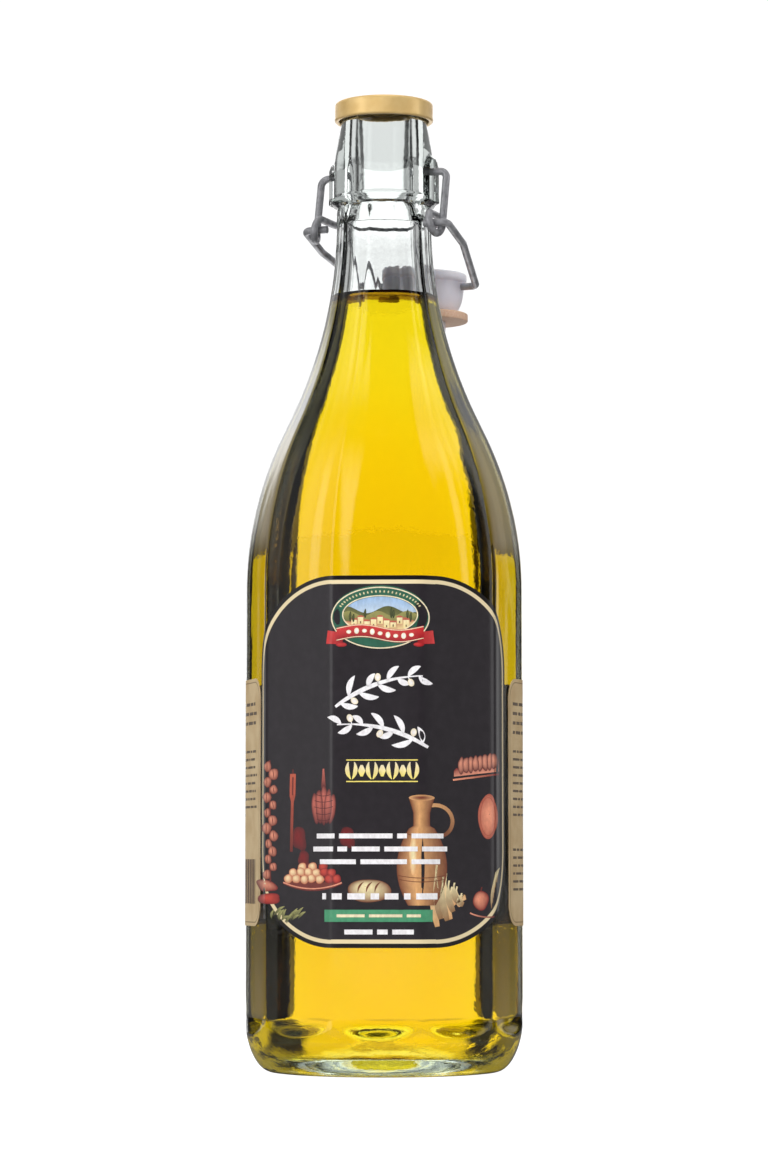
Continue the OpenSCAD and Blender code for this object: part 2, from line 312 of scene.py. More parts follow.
@dataclass(frozen=True)
class GoldLacquer(Finish):
    """Satin gold lacquer over pressed tinplate, drawn round the cap."""

    colour: tuple = srgb(250, 214, 146)
    deep: tuple = srgb(232, 188, 112)

    def build(self, recipe: Recipe) -> None:
        """Fine rings of drawing marks, cloudy lacquer and faint dulling."""
        point = recipe.place()
        along_x, along_y, height = recipe.split(point)
        out = (along_x * along_x + along_y * along_y) ** 0.5
        rings = recipe.add("ShaderNodeCombineXYZ", inputs={0: out * 6.0, 1: height * 9.0})
        drawn = recipe.noise(rings, 1.0, 3.0, 0.6)
        clouds = recipe.noise(point, 0.18, 3.0)
        colour = recipe.blend(clouds.rise(0.35, 0.75) * 0.5, self.colour, self.deep)
        rough = 0.27 + drawn * 0.10 + clouds * 0.06
        recipe.surface(Base_Color=colour, Metallic=0.5, Roughness=rough, Coat_Weight=0.3,
                       Coat_Roughness=0.22, Normal=recipe.relief(drawn, 0.12, 0.05))


@dataclass(frozen=True)
class DarkPaper(Finish):
    """Glossy black label paper with one cream line inside its edge.

    The piece's UV map holds the distance across the sheet from its middle and the height over
    its lower edge, as shares of the half width and the height.
    """

    half: float
    height: float
    corner: tuple[float, float]
    margin: float = 1.35
    line: float = 1.25
    field_colour: tuple = srgb(36, 32, 36)
    margin_colour: tuple = srgb(20, 16, 18)
    line_colour: tuple = srgb(226, 208, 166)

    def build(self, recipe: Recipe) -> None:
        """Margin, line and field from the distance to the rounded outline."""
        sheet = recipe.add("ShaderNodeUVMap", {"uv_map": "sheet"})
        across, up, _ = recipe.split(sheet)
        over_side = abs(across * 2 - 1) * self.half - (self.half - self.corner[0])
        over_end = abs(up - 0.5) * self.height - (self.height / 2 - self.corner[1])
        mean = (self.corner[0] + self.corner[1]) / 2
        round_x = over_side.at_least(0) / self.corner[0]
        round_z = over_end.at_least(0) / self.corner[1]
        in_corner = ((round_x * round_x + round_z * round_z) ** 0.5 - 1) * mean
        straight = (over_side - self.corner[0]).at_least(over_end - self.corner[1])
        both = over_side.at_most(over_end).rise(-0.01, 0.01)
        inset = (in_corner * both + straight * (1 - both)) * -1
        edge = 0.07
        in_line = inset.rise(self.margin - edge, self.margin + edge)
        in_field = inset.rise(self.margin + self.line - edge, self.margin + self.line + edge)
        point = recipe.place()
        mottle = recipe.noise(point, 0.35, 4.0, 0.6)
        grain = recipe.noise(point, 9.0, 2.0)
        lighter = tuple(1.35 * c for c in self.field_colour[:3]) + (1.0,)
        colour = recipe.blend(mottle.rise(0.3, 0.8), self.field_colour, lighter)
        colour = recipe.blend(in_field, self.line_colour, colour)
        colour = recipe.blend(in_line, self.margin_colour, colour)
        recipe.surface(Base_Color=colour, Roughness=0.30 + grain * 0.10, Coat_Weight=0.6,
                       Coat_Roughness=0.12,
                       Normal=recipe.relief(mottle * 0.7 + grain * 0.3, 0.08, 0.15))


@dataclass(frozen=True)
class CreamPaper(Finish):
    """Matt cream label paper with a fine double line inside its edge."""

    half: float
    height: float
    corner: float
    colour: tuple = srgb(214, 190, 148)
    shade: tuple = srgb(198, 170, 126)
    line_colour: tuple = srgb(120, 92, 60)

    def build(self, recipe: Recipe) -> None:
        """Fibres and clouds in the paper, and the line from the distance to the outline."""
        sheet = recipe.add("ShaderNodeUVMap", {"uv_map": "sheet"})
        across, up, _ = recipe.split(sheet)
        over_side = abs(across * 2 - 1) * self.half - (self.half - self.corner)
        over_end = abs(up - 0.5) * self.height - (self.height / 2 - self.corner)
        side, end = over_side.at_least(0), over_end.at_least(0)
        inner = over_side.at_least(over_end).at_most(0)
        inset = self.corner - (side * side + end * end) ** 0.5 - inner
        line = inset.rise(0.95, 1.05) * inset.rise(1.4, 1.3)
        point = recipe.place()
        fibres = recipe.noise(recipe.stretch(point, (1, 1, 3)), 3.2, 4.0, 0.65)
        clouds = recipe.noise(point, 0.12, 3.0)
        colour = recipe.blend(clouds.rise(0.3, 0.7), self.colour, self.shade)
        colour = recipe.blend(fibres.rise(0.55, 0.8) * 0.25, colour, srgb(230, 214, 180))
        colour = recipe.blend(line * 0.75, colour, self.line_colour)
        recipe.surface(Base_Color=colour, Roughness=0.50 + fibres * 0.12,
                       Normal=recipe.relief(fibres, 0.15, 0.08))


@dataclass(frozen=True)
class Ink(Finish):
    """Printed ink: the colour that each point carries, broken by fine grain and brushwork."""

    brush: float = 0.35
    gloss: float = 0.6

    def build(self, recipe: Recipe) -> None:
        """Reads the piece's own colours and varies them a little."""
        own = recipe.add("ShaderNodeAttribute", {"attribute_name": "ink"})
        point = recipe.place()
        dabs = recipe.noise(recipe.stretch(point, (1, 1, 0.6)), 0.9, 3.0, 0.6)
        grain = recipe.noise(point, 8.0, 1.0)
        dark = recipe.blend(1.0, own, (0.55, 0.50, 0.50, 1), "MULTIPLY")
        colour = recipe.blend(dabs.rise(0.68, 0.30) * self.brush, own, dark)
        recipe.surface(Base_Color=colour, Roughness=0.30 + grain * 0.12, Coat_Weight=self.gloss,
                       Coat_Roughness=0.12, Normal=recipe.relief(grain, 0.06, 0.05))


@dataclass(frozen=True)
class DrawnSteel(Finish):
    """Drawn steel wire, satin, with faint die lines and patches of dull zinc."""

    colour: tuple = srgb(188, 188, 192)
    dull: tuple = srgb(146, 146, 150)

    def build(self, recipe: Recipe) -> None:
        """Marks along the wire, from its own length coordinate, and cloudy dulling."""
        sheet = recipe.add("ShaderNodeUVMap", {"uv_map": "sheet"})
        lines = recipe.noise(recipe.stretch(sheet, (22, 0.05, 1)), 1.0, 2.0)
        point = recipe.place()
        clouds = recipe.noise(point, 0.3, 4.0, 0.6)
        pits = recipe.noise(point, 3.0, 3.0, 0.7)
        colour = recipe.blend(clouds.rise(0.35, 0.75), self.colour, self.dull)
        rough = 0.30 + clouds * 0.16 + lines * 0.06
        recipe.surface(Base_Color=colour, Metallic=0.7, Roughness=rough,
                       Normal=recipe.relief(lines * 0.6 + pits * 0.4, 0.18, 0.06))


@dataclass(frozen=True)
class MilkyPlastic(Finish):
    """White moulded plastic that lets some light through."""

    colour: tuple = srgb(238, 235, 243)

    def build(self, recipe: Recipe) -> None:
        """Soft light below the skin, faint flow marks and a moulded sheen."""
        point = recipe.place()
        flow = recipe.noise(recipe.stretch(point, (1, 1, 0.4)), 0.25, 3.0)
        skin = recipe.noise(point, 2.5, 3.0)
        colour = recipe.blend(flow.rise(0.3, 0.8) * 0.5, self.colour, srgb(224, 221, 232))
        recipe.surface(Base_Color=colour, Roughness=0.32 + skin * 0.12, IOR=1.49,
                       Subsurface_Weight=0.75, Subsurface_Radius=(1.0, 0.9, 0.85),
                       Subsurface_Scale=4.0 * MM, Normal=recipe.relief(skin, 0.06, 0.08))


@dataclass(frozen=True)
class SoftRubber(Finish):
    """Matt pinkish-tan rubber with a fine bloom."""

    colour: tuple = srgb(228, 186, 156)
    bloom: tuple = srgb(238, 210, 188)

    def build(self, recipe: Recipe) -> None:
        """Powdery bloom, small pores and a soft sheen."""
        point = recipe.place()
        powder = recipe.noise(point, 1.4, 4.0, 0.65)
        pores = recipe.noise(point, 6.0, 2.0)
        colour = recipe.blend(powder.rise(0.4, 0.75), self.colour, self.bloom)
        recipe.surface(Base_Color=colour, Roughness=0.62 + pores * 0.2, Subsurface_Weight=0.15,
                       Subsurface_Radius=(1.0, 0.6, 0.4), Subsurface_Scale=1.5 * MM,
                       Normal=recipe.relief(pores, 0.25, 0.06))


@dataclass(frozen=True)
class Lobe:
    """A soft-edged patch of light round the studio.

    Attributes:
        first, full, fade, last: Bearings in degrees from straight behind the bottle, towards
            +X, where the light starts, is whole, starts to fade and ends.
        level: Its radiance.
    """

    first: float
    full: float
    fade: float
    last: float
    level: float

    def amount(self, bearing: Value) -> Value:
        """Its light at a bearing."""
        rise = bearing.rise(math.radians(self.first), math.radians(self.full))
        fall = bearing.rise(math.radians(self.last), math.radians(self.fade))
        return rise * fall * self.level


# The lit stretch behind the bottle, on the wall and on the floor in front of it.
WALL = Lobe(-29, -24, 17, 22, 1.08)


@dataclass(frozen=True)
class StudioWhite(Finish):
    """The matt white surface that the bottle stands on.

    Attributes:
        glow_from, glow_full: How far behind the bottle its light to the glass starts and is
            whole, in millimetres.
        dim: Its light to the glass everywhere else.
    """

    glow_from: float = 30.0
    glow_full: float = 120.0
    dim: float = 0.02

    def build(self, recipe: Recipe) -> None:
        """White to the camera. Behind the bottle it lights the glass, and in front it is dim."""
        point = recipe.place()
        across, back, _ = recipe.split(point)
        bearing = recipe.add("ShaderNodeMath", {"operation": "ARCTAN2"}, {0: across, 1: back})
        faint = recipe.noise(point, 0.01, 2.0)
        colour = recipe.blend(faint, (0.20, 0.20, 0.20, 1), (0.24, 0.24, 0.24, 1))
        seen = recipe.add("ShaderNodeLightPath", output="Is Camera Ray")
        glow = WALL.amount(bearing) * back.rise(self.glow_from, self.glow_full) + self.dim
        recipe.surface(Base_Color=colour, Roughness=0.9, Specular_IOR_Level=0.0,
                       Emission_Color=(1, 1, 1, 1), Emission_Strength=glow * (1 - seen) + seen)


# ---------------------------------------------------------------------------- mesh helpers


def mesh_piece(name: str, points: np.ndarray, faces: Sequence[Sequence[int]],
               sharp: float = 40.0) -> bpy.types.Object:
    """Makes one smooth-shaded piece.

    Args:
        name: The piece's name.
        points: Its corners, in millimetres.
        faces: Its faces, with their corners counter-clockwise from outside.
        sharp: Edges that bend by more than this many degrees stay crisp.

    Returns:
        The object, in the scene, in metres.
    """
    mesh = bpy.data.meshes.new(name)
    mesh.from_pydata([tuple(p) for p in np.asarray(points, float) * MM], [], faces)
    mesh.polygons.foreach_set("use_smooth", [True] * len(mesh.polygons))
    mesh.set_sharp_from_angle(angle=math.radians(sharp))
    mesh.update()
    piece = bpy.data.objects.new(name, mesh)
    bpy.context.scene.collection.objects.link(piece)
    return piece


def skin(name: str, rings: Sequence[np.ndarray], start: tuple | None = None,
         end: tuple | None = None, sharp: float = 40.0) -> bpy.types.Object:
    """Joins rings of points, one after another, into a closed piece.

    Args:
        name: The piece's name.
        rings: Arrays of the same number of points, each once round counter-clockwise.
        start: The pole before the first ring. With no poles, the last ring joins the first.
        end: The pole after the last ring.
        sharp: As in mesh_piece.

    Returns:
        The piece, its faces outwards where the rings run from the bottom up on the outside.
    """
    count = len(rings[0])
    points = [np.asarray(ring, float) for ring in rings]
    faces = []
    pairs = [(i, i + 1) for i in range(len(rings) - 1)]
    if start is None:
        pairs.append((len(rings) - 1, 0))
    for low, high in pairs:
        for k in range(count):
            n = (k + 1) % count
            faces.append((low * count + k, low * count + n, high * count + n, high * count + k))
    if start is not None:
        first, last = len(rings) * count, (len(rings) - 1) * count
        points.append(np.array([start, end], float))
        for k in range(count):
            n = (k + 1) % count
            faces.append((first, n, k))
            faces.append((first + 1, last + k, last + n))
    return mesh_piece(name, np.concatenate(points), faces, sharp)


def turned(name: str, outline: Path, centre: Vector | None = None, segments: int = 128,
           sharp: float = 40.0) -> bpy.types.Object:
    """Turns an outline of (radius, height) points round an upright axis.

    Args:
        name: The piece's name.
        outline: From the bottom up on the outside. It starts and ends on the axis, or is closed.
        centre: A point of the axis.
        segments: Points round the piece.
        sharp: As in mesh_piece.

    Returns:
        The piece.
    """
    centre = centre or Vector((0, 0, 0))
    angles = np.linspace(0, 2 * math.pi, segments, endpoint=False)
    solid = outline[0][0] < 1e-6
    inner = outline[1:-1] if solid else outline
    rings = [np.stack([centre.x + r * np.cos(angles), centre.y + r * np.sin(angles),
                       np.full(segments, centre.z + z)], axis=1) for r, z in inner]
    poles = [(centre.x, centre.y, centre.z + z) for _, z in (outline[0], outline[-1])]
    if solid:
        return skin(name, rings, poles[0], poles[1], sharp)
    return skin(name, rings, sharp=sharp)


def arc(x: float, z: float, r: float, first: float, last: float, steps: int = 16) -> Path:
    """Points of an arc about (x, z), from one angle in degrees to another."""
    angles = [math.radians(first + (last - first) * i / steps) for i in range(steps + 1)]
    return [(x + r * math.cos(a), z + r * math.sin(a)) for a in angles]


def s_curve(r0: float, z0: float, r1: float, z1: float, steepness: float,
            share: float = 0.44, steps: int = 28) -> Path:
    """An S that is upright at both ends: two arcs that meet a short straight.

    Args:
        r0, z0: The lower, outer end.
        r1, z1: The upper, inner end.
        steepness: Slope of the straight, as a multiple of the mean slope.
        share: The lower arc's share of both radii.
        steps: Straights in each arc.

    Returns:
        The points from the lower end to the upper.
    """
    drop, rise = r0 - r1, z1 - z0
    turn = math.atan(steepness * drop / rise)
    both = (rise * math.sin(turn) - drop * math.cos(turn)) / (1 - math.cos(turn))
    lower, upper = share * both, (1 - share) * both
    degrees = math.degrees(turn)
    return (arc(r0 - lower, z0, lower, 0, degrees, steps)
            + arc(r1 + upper, z1, upper, 180 + degrees, 180, steps))


def rounded(points: Path, radius: float, steps: int = 5) -> Path:
    """Rounds the inner corners of a line, as far as its straights leave room.

    Args:
        points: The corners.
        radius: The largest radius.
        steps: Straights in each rounding.

    Returns:
        The line with its ends kept.
    """
    result = [points[0]]
    for before, corner, after in zip(points, points[1:], points[2:]):
        b, c, a = Vector(before), Vector(corner), Vector(after)
        go, leave = (c - b), (a - c)
        room = 0.48 * min(go.length, leave.length)
        go.normalize()
        leave.normalize()
        turn = go.angle(leave, 0.0)
        if turn < math.radians(4):
            result.append(corner)
            continue
        reach = min(radius * math.tan(turn / 2), room)
        start, end = c - go * reach, c + leave * reach
        for i in range(steps + 1):
            t = i / steps
            spot = (1 - t) ** 2 * start + 2 * t * (1 - t) * c + t * t * end
            result.append((spot.x, spot.y))
    return result + [points[-1]]


def dense(points: Path, step: float) -> Path:
    """A line with points added so that none lie further apart than step."""
    result = [points[0]]
    for (x0, z0), (x1, z1) in zip(points, points[1:]):
        count = max(1, math.ceil(math.hypot(x1 - x0, z1 - z0) / step))
        result += [(x0 + (x1 - x0) * i / count, z0 + (z1 - z0) * i / count)
                   for i in range(1, count + 1)]
    return result


def finished(piece: bpy.types.Object, *finishes: Finish) -> bpy.types.Object:
    """Gives a piece its materials."""
    piece.data.materials.clear()
    for finish in finishes:
        piece.data.materials.append(finish.material())
    return piece


def cut(piece: bpy.types.Object, tools: Sequence[bpy.types.Object]) -> bpy.types.Object:
    """Cuts tools out of a piece and removes them."""
    for tool in tools:
        modifier = piece.modifiers.new("cut", "BOOLEAN")
        modifier.operation = "DIFFERENCE"
        modifier.solver = "EXACT"
        modifier.object = tool
    applied(piece)
    for tool in tools:
        bpy.data.objects.remove(tool)
    piece.data.polygons.foreach_set("use_smooth", [True] * len(piece.data.polygons))
    piece.data.set_sharp_from_angle(angle=math.radians(40))
    return piece


def applied(piece: bpy.types.Object) -> bpy.types.Object:
    """Turns a piece and its modifiers into a plain mesh."""
    bpy.context.view_layer.update()
    graph = bpy.context.evaluated_depsgraph_get()
    mesh = bpy.data.meshes.new_from_object(piece.evaluated_get(graph))
    piece.modifiers.clear()
    piece.data = mesh
    return piece


def placed(piece: bpy.types.Object, body: str, slot: str, *replaced: str) -> None:
    """Makes a piece ride on a body and hides what it stands for."""
    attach(piece, body)
    if replaced:
        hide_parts(*replaced)
    piece.data.calc_loop_triangles()
    LOG.info("%s: %d triangles on %s", piece.name, len(piece.data.loop_triangles), body)


def top_of(node: str) -> float:
    """Height of a node's top, in millimetres."""
    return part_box(node)[1].z / MM


def bottom_of(node: str) -> float:
    """Height of a node's lowest point, in millimetres."""
    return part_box(node)[0].z / MM


# ---------------------------------------------------------------------------- closure frame


@dataclass(frozen=True)
class ClosureFrame:
    """The closure's own axes: u along the hinge pins, v to the back, z up."""

    turn: float = -18.0

    def point(self, u: float, v: float, z: float) -> Vector:
        """A point of the bottle's frame from the closure's."""
        a = math.radians(self.turn)
        return Vector((u * math.cos(a) - v * math.sin(a), u * math.sin(a) + v * math.cos(a), z))

    def rod(self, name: str, r: float, u0: float, u1: float, v: float, z: float
            ) -> bpy.types.Object:
        """A round rod along u, as a cutter."""
        angles = np.linspace(0, 2 * math.pi, 40, endpoint=False)
        rings = [np.array([self.point(u, v - r * math.cos(a), z + r * math.sin(a))
                           for a in angles]) for u in (u0, u1)]
        return skin(name, rings, tuple(self.point(u0, v, z)), tuple(self.point(u1, v, z)))


CLOSURE = ClosureFrame()


# ---------------------------------------------------------------------------- glass


@dataclass
class GlassBody:
    """The ten-sided bottle: panels, round foot, shoulder, neck and finish."""

    sides: int = 10
    body_r: float = 44.5
    shoulder_z: float = 153.0
    steepness: float = 2.0
    heel_h: float = 20.0
    heel_in: float = 9.0
    panel_foot: float = 18.0
    panel_flare: float = 10.0
    push_up: float = 7.0
    ring_w: float = 6.0
    base_glass: float = 5.0
    wall: float = 1.7
    neck_r: float = 15.4
    finish_h: float = 33.0
    neck_hollow_r: float = 11.5
    bore_r: float = 8.4
    collar_r: float = 16.9
    band_r: float = 16.2
    lip_r: float = 13.8
    bead_r: float = 14.6
    boss_w: float = 4.8
    boss_face: float = 17.4
    pivot_up: float = 10.5
    band_h: float = 14.0
    pin_hole: float = 1.8
    crispness: float = 84.0
    around: int = 240
    mouth_z: float = field(init=False)
    collar_z: float = field(init=False)
    panel_r: float = field(init=False)
    panel_w: float = field(init=False)

    def __post_init__(self) -> None:
        """Heights from the frame, and the panel's sizes from the corners'."""
        self.mouth_z = top_of("bottle")
        self.collar_z = self.mouth_z - self.finish_h
        half = math.pi / self.sides
        self.panel_r = self.body_r * math.cos(half)
        self.panel_w = 2 * self.body_r * math.sin(half)
        flat = math.cos(half)
        outline = [(self.panel_r, self.panel_foot)] + s_curve(
            self.panel_r, self.shoulder_z, self.neck_r * flat, self.collar_z - 5, self.steepness)
        outline.append((self.neck_r * flat, self.collar_z + 1))
        self._radii = np.array([p[0] for p in outline])
        self._heights = np.array([p[1] for p in outline])

    def panel_distance(self, z: float) -> float:
        """Distance of the panels' middles from the axis at a height."""
        if z >= self.panel_foot:
            return float(np.interp(z, self._heights, self._radii))
        drop = min(self.panel_foot - z, self.panel_flare * 0.999)
        return self.panel_r + self.panel_flare - math.sqrt(self.panel_flare ** 2 - drop ** 2)

    def corner_share(self, angles: np.ndarray) -> np.ndarray:
        """How much nearer the panels lie than a circle through their middles, at angles."""
        middles = [-math.pi / 2 + 2 * math.pi * k / self.sides for k in range(self.sides)]
        shares = np.array([np.maximum(np.cos(angles - m), 0.0) for m in middles])
        return (shares ** self.crispness).sum(axis=0) ** (1 / self.crispness)

    def radius(self, angles: np.ndarray, z: float) -> np.ndarray:
        """Outer radius of the panelled part, at angles and one height."""
        return self.panel_distance(z) / self.corner_share(angles)

    def on_panels(self, s: np.ndarray, z: np.ndarray, lift: np.ndarray | float) -> np.ndarray:
        """Points on the panels.

        Args:
            s: Distances along the panels from the middle of the front one, towards +X.
            z: Heights.
            lift: Distance of the points above the glass.

        Returns:
            One row for each point.
        """
        s, z = np.asarray(s, float), np.asarray(z, float)
        panel = np.round(s / self.panel_w)
        along = s - panel * self.panel_w
        angles = -np.pi / 2 + panel * 2 * np.pi / self.sides + np.arctan(along / self.panel_r)
        distance = np.interp(z, self._heights, self._radii)
        share = self.corner_share(angles)
        r = distance / share + lift / np.sqrt(np.clip(share, 0.5, 1))
        return np.stack([r * np.cos(angles), r * np.sin(angles), z], axis=1)

    def hollow_outline(self, steps: int = 22) -> Path:
        """The inside of the glass, from the top of the domed bottom up to the bore."""
        hollow_r = self.panel_r - self.wall
        corner, dome_drop, flare_h = 11.0, 4.5, 6.0
        low = self.push_up + self.base_glass
        dome_r = hollow_r - corner
        dome = [(dome_r * i / 12, low - dome_drop * (1 - math.cos(math.pi * i / 12)) / 2)
                for i in range(13)]
        top = self.collar_z - flare_h
        side = s_curve(hollow_r, self.shoulder_z - 2, self.neck_hollow_r, top - 4,
                       self.steepness, steps=steps)
        neck = [(self.neck_hollow_r, top - 4), (self.neck_hollow_r, top),
                (self.bore_r, self.collar_z + 3), (self.bore_r, self.collar_z + 12)]
        return (dome + arc(dome_r, low - dome_drop + corner, corner, -86, 0, 12)
                + side[:-1] + rounded(neck, 3.0, 8)[1:])

    def _boss(self, angles: np.ndarray, z: float, r: np.ndarray) -> np.ndarray:
        """Raises a ring of the collar where the two pads for the wire's ends stand."""
        pivot = self.collar_z + self.pivot_up
        for side in (0.0, math.pi):
            off = angles - math.radians(CLOSURE.turn) - side
            off = (off + math.pi) % (2 * math.pi) - math.pi
            facing = np.abs(off) < 1.0
            across = np.abs(self.boss_face * np.sin(off))
            up = max(z - pivot, 0.0)
            low = z - (self.collar_z + 0.6)
            depth = np.minimum(self.boss_w - np.hypot(across, up), low)
            t = np.clip(depth / 0.9 + 0.5, 0, 1)
            face = self.boss_face / np.cos(np.where(facing, off, 0.0))
            gain = (face - r) * t * t * (3 - 2 * t)
            r = r + np.where(facing, np.maximum(gain, 0.0), 0.0)
        return r

    def rings(self) -> list[np.ndarray]:
        """The whole skin, from under the base up the outside and down the inside."""
        angles = np.linspace(0, 2 * np.pi, self.around, endpoint=False)

        def ring(r: np.ndarray | float, z: float) -> np.ndarray:
            """One ring from its radii and height."""
            r = np.broadcast_to(r, angles.shape)
            return np.stack([r * np.cos(angles), r * np.sin(angles), np.full_like(r, z)], axis=1)

        result = []
        ring_in = self.body_r - self.heel_in - self.ring_w
        for i in range(1, 17):
            t = i / 16
            result.append(ring(ring_in * t, self.push_up * (1 + math.cos(math.pi * t)) / 2))
        result.append(ring(ring_in + self.ring_w / 2, 0.0))
        soft = 0.45
        for degrees in [*range(0, 60, 6), *range(60, 91, 1)]:
            q = math.radians(degrees)
            z = self.heel_h * (1 - math.cos(q))
            foot = self.body_r - self.heel_in + self.heel_in * math.sin(q)
            panels = self.radius(angles, z)
            both = -soft * np.logaddexp(-foot / soft, -panels / soft)
            result.append(ring(np.minimum(both, foot) if z > 8 else foot, z))
        heights = [z for z in np.arange(24, self.shoulder_z, 8.0)]
        heights += list(np.linspace(self.shoulder_z, self.collar_z - 5, 72))
        heights += list(np.linspace(self.collar_z - 4, self.collar_z - 1.0, 4))
        result += [ring(self.radius(angles, z), z) for z in heights]
        for r, z in self.finish_outline():
            radii = np.full_like(angles, r)
            if self.collar_z + 0.4 < z < self.collar_z + self.pivot_up + self.boss_w + 1:
                radii = self._boss(angles, z, radii)
            result.append(ring(radii, z))
        inside = self.hollow_outline()
        result += [ring(r, z) for r, z in reversed(inside[1:])]
        return result

    def finish_outline(self) -> Path:
        """Collar, bosses' band, taper, lip and mouth, from the neck to inside the bore."""
        c, m = self.collar_z, self.mouth_z
        lip_z = m - 4.8
        corners = [
            (self.neck_r - 0.5, c - 0.6), (self.collar_r - 0.6, c), (self.collar_r, c + 0.8),
            (self.collar_r, c + 2), (self.band_r, c + 3), (self.band_r, c + self.band_h),
            (self.band_r - 0.4, c + self.band_h + 3), (self.lip_r, lip_z - 0.6),
            (self.lip_r, lip_z + 0.8), (self.bead_r, lip_z + 1.8), (self.bead_r, m - 0.8),
            (self.bead_r - 0.8, m), (self.bore_r + 0.8, m), (self.bore_r, m - 0.8),
            (self.bore_r, m - 6)]
        return dense(rounded(corners, 0.9), 0.6)

    def build(self) -> bpy.types.Object:
        """The glass, in one closed piece with the two blind holes for the wire."""
        low = self.push_up + self.base_glass
        piece = skin("bottle_glass", self.rings(), (0, 0, self.push_up), (0, 0, low), sharp=50)
        z = self.collar_z + self.pivot_up
        reach = self.bore_r + 2.4
        tools = [CLOSURE.rod("hole_right", self.pin_hole, reach, 22, 0, z),
                 CLOSURE.rod("hole_left", self.pin_hole, -22, -reach, 0, z)]
        piece = cut(piece, tools)
        return finished(piece, ClearGlass())

    def dress(self) -> None:
        """Builds the glass and puts it in the frame."""
        placed(self.build(), "bottle", "glass", "bottle")


@dataclass
class Oil:
    """The oil: it reaches just into the glass and climbs a little up the wall."""

    body: GlassBody
    into_wall: float = 0.25
    climb: float = 1.1
    climb_reach: float = 1.5

    def build(self) -> bpy.types.Object:
        """The turned body of the oil with its curved surface."""
        level = top_of("oil")
        side = [(r, z) for r, z in self.body.hollow_outline(40) if z < level - 1]
        radii = [p[0] for p in self.body.hollow_outline(40)]
        heights = [p[1] for p in self.body.hollow_outline(40)]
        start = int(np.argmin(heights))
        edge = float(np.interp(level + self.climb, heights[start:], radii[start:]))
        outer = [(r + self.into_wall * min(1, r / 20), z - self.into_wall) for r, z in side]
        edge += self.into_wall
        top = []
        for i in range(25):
            r = edge * (1 - (i / 24) ** 1.6)
            top.append((r, level + self.climb * math.exp((r - edge) / self.climb_reach)))
        top[-1] = (0.0, level)
        piece = turned("oil", outer + top, segments=192)
        return finished(piece, OliveOil(round(level, 2), round(edge, 2)))

    def dress(self) -> None:
        """Builds the oil and puts it in the frame."""
        placed(self.build(), "bottle", "oil", "oil")


# ---------------------------------------------------------------------------- cap


@dataclass
class Cap:
    """The pressed metal cap: a flat top, a rolled shoulder and a curled lower rim."""

    radius: float = 16.0
    height: float = 6.4
    skirt: float = 0.9

    def outline(self) -> Path:
        """The cap's section, from the axis under its top to the axis over it."""
        top = top_of("cap")
        low = top - self.height
        inner, under = self.radius - self.skirt, top - 1.0
        curl = 0.78
        inside = [(0, under), (inner - 0.6, under), (inner, under - 0.6), (inner, low + 2.1)]
        neck = [(inner, low + 2.1), (self.radius - 1.65, low + curl)]
        rolled = arc(self.radius - curl - 0.05, low + curl, curl, 180, 360, 14)
        waist = [(self.radius - 0.18, low + 1.9)]
        shoulder = arc(self.radius - 1.25, top - 1.25, 1.13, 0, 90, 10)
        rise = [(self.radius - 0.12, low + 2.6)]
        crown = [(self.radius - 3.0, top - 0.02), (self.radius - 3.6, top - 0.16),
                 (self.radius - 5.0, top - 0.16), (0, top - 0.1)]
        return rounded(inside, 0.5)[:-1] + neck[:1] + rolled + waist + rise + shoulder + crown

    def dress(self) -> None:
        """Builds the cap and puts it in the frame."""
        piece = finished(turned("cap_shell", self.outline(), segments=160), GoldLacquer())
        placed(piece, "bottle", "cap_lacquer", "cap")


# ---------------------------------------------------------------------------- labels


class Hue(Enum):
    """Printing inks of the two labels."""

    CREAM = srgb(236, 222, 186)
    WHITE = srgb(240, 238, 240)
    GREEN = srgb(44, 96, 76)
    BAR_GREEN = srgb(74, 150, 110)
    RED = srgb(206, 52, 52)
    DEEP_RED = srgb(150, 30, 38)
    GOLD = srgb(240, 222, 110)
    BROWN = srgb(96, 62, 42)
    GARLIC = srgb(228, 150, 122)
    GARLIC_DARK = srgb(120, 58, 50)
    WOOD = srgb(190, 92, 70)
    WOOD_DARK = srgb(112, 48, 44)
    MEAT = srgb(196, 106, 92)
    MEAT_DARK = srgb(88, 38, 40)
    ONION = srgb(252, 226, 176)
    ONION_DARK = srgb(196, 108, 78)
    APPLE = srgb(206, 76, 62)
    APPLE_DARK = srgb(124, 34, 36)
    CHEESE = srgb(240, 156, 122)
    CHEESE_DARK = srgb(172, 84, 66)
    CLAY = srgb(222, 168, 112)
    CLAY_DARK = srgb(120, 66, 44)
    LINEN = srgb(240, 226, 176)
    LINEN_DARK = srgb(150, 110, 72)
    LEAF = srgb(170, 168, 108)
    LEAF_DARK = srgb(70, 72, 48)
    SKY = srgb(150, 184, 222)
    SKY_LOW = srgb(222, 226, 218)
    HILL = srgb(150, 146, 84)
    HILL_DARK = srgb(88, 92, 54)
    ROOF = srgb(182, 92, 72)
    WALLS = srgb(232, 212, 150)
    TREE = srgb(40, 54, 36)
    TEXT_BROWN = srgb(104, 84, 60)


def mixed(first: tuple, second: tuple, share: float) -> tuple:
    """A colour between two."""
    return tuple(a + (b - a) * share for a, b in zip(first, second))


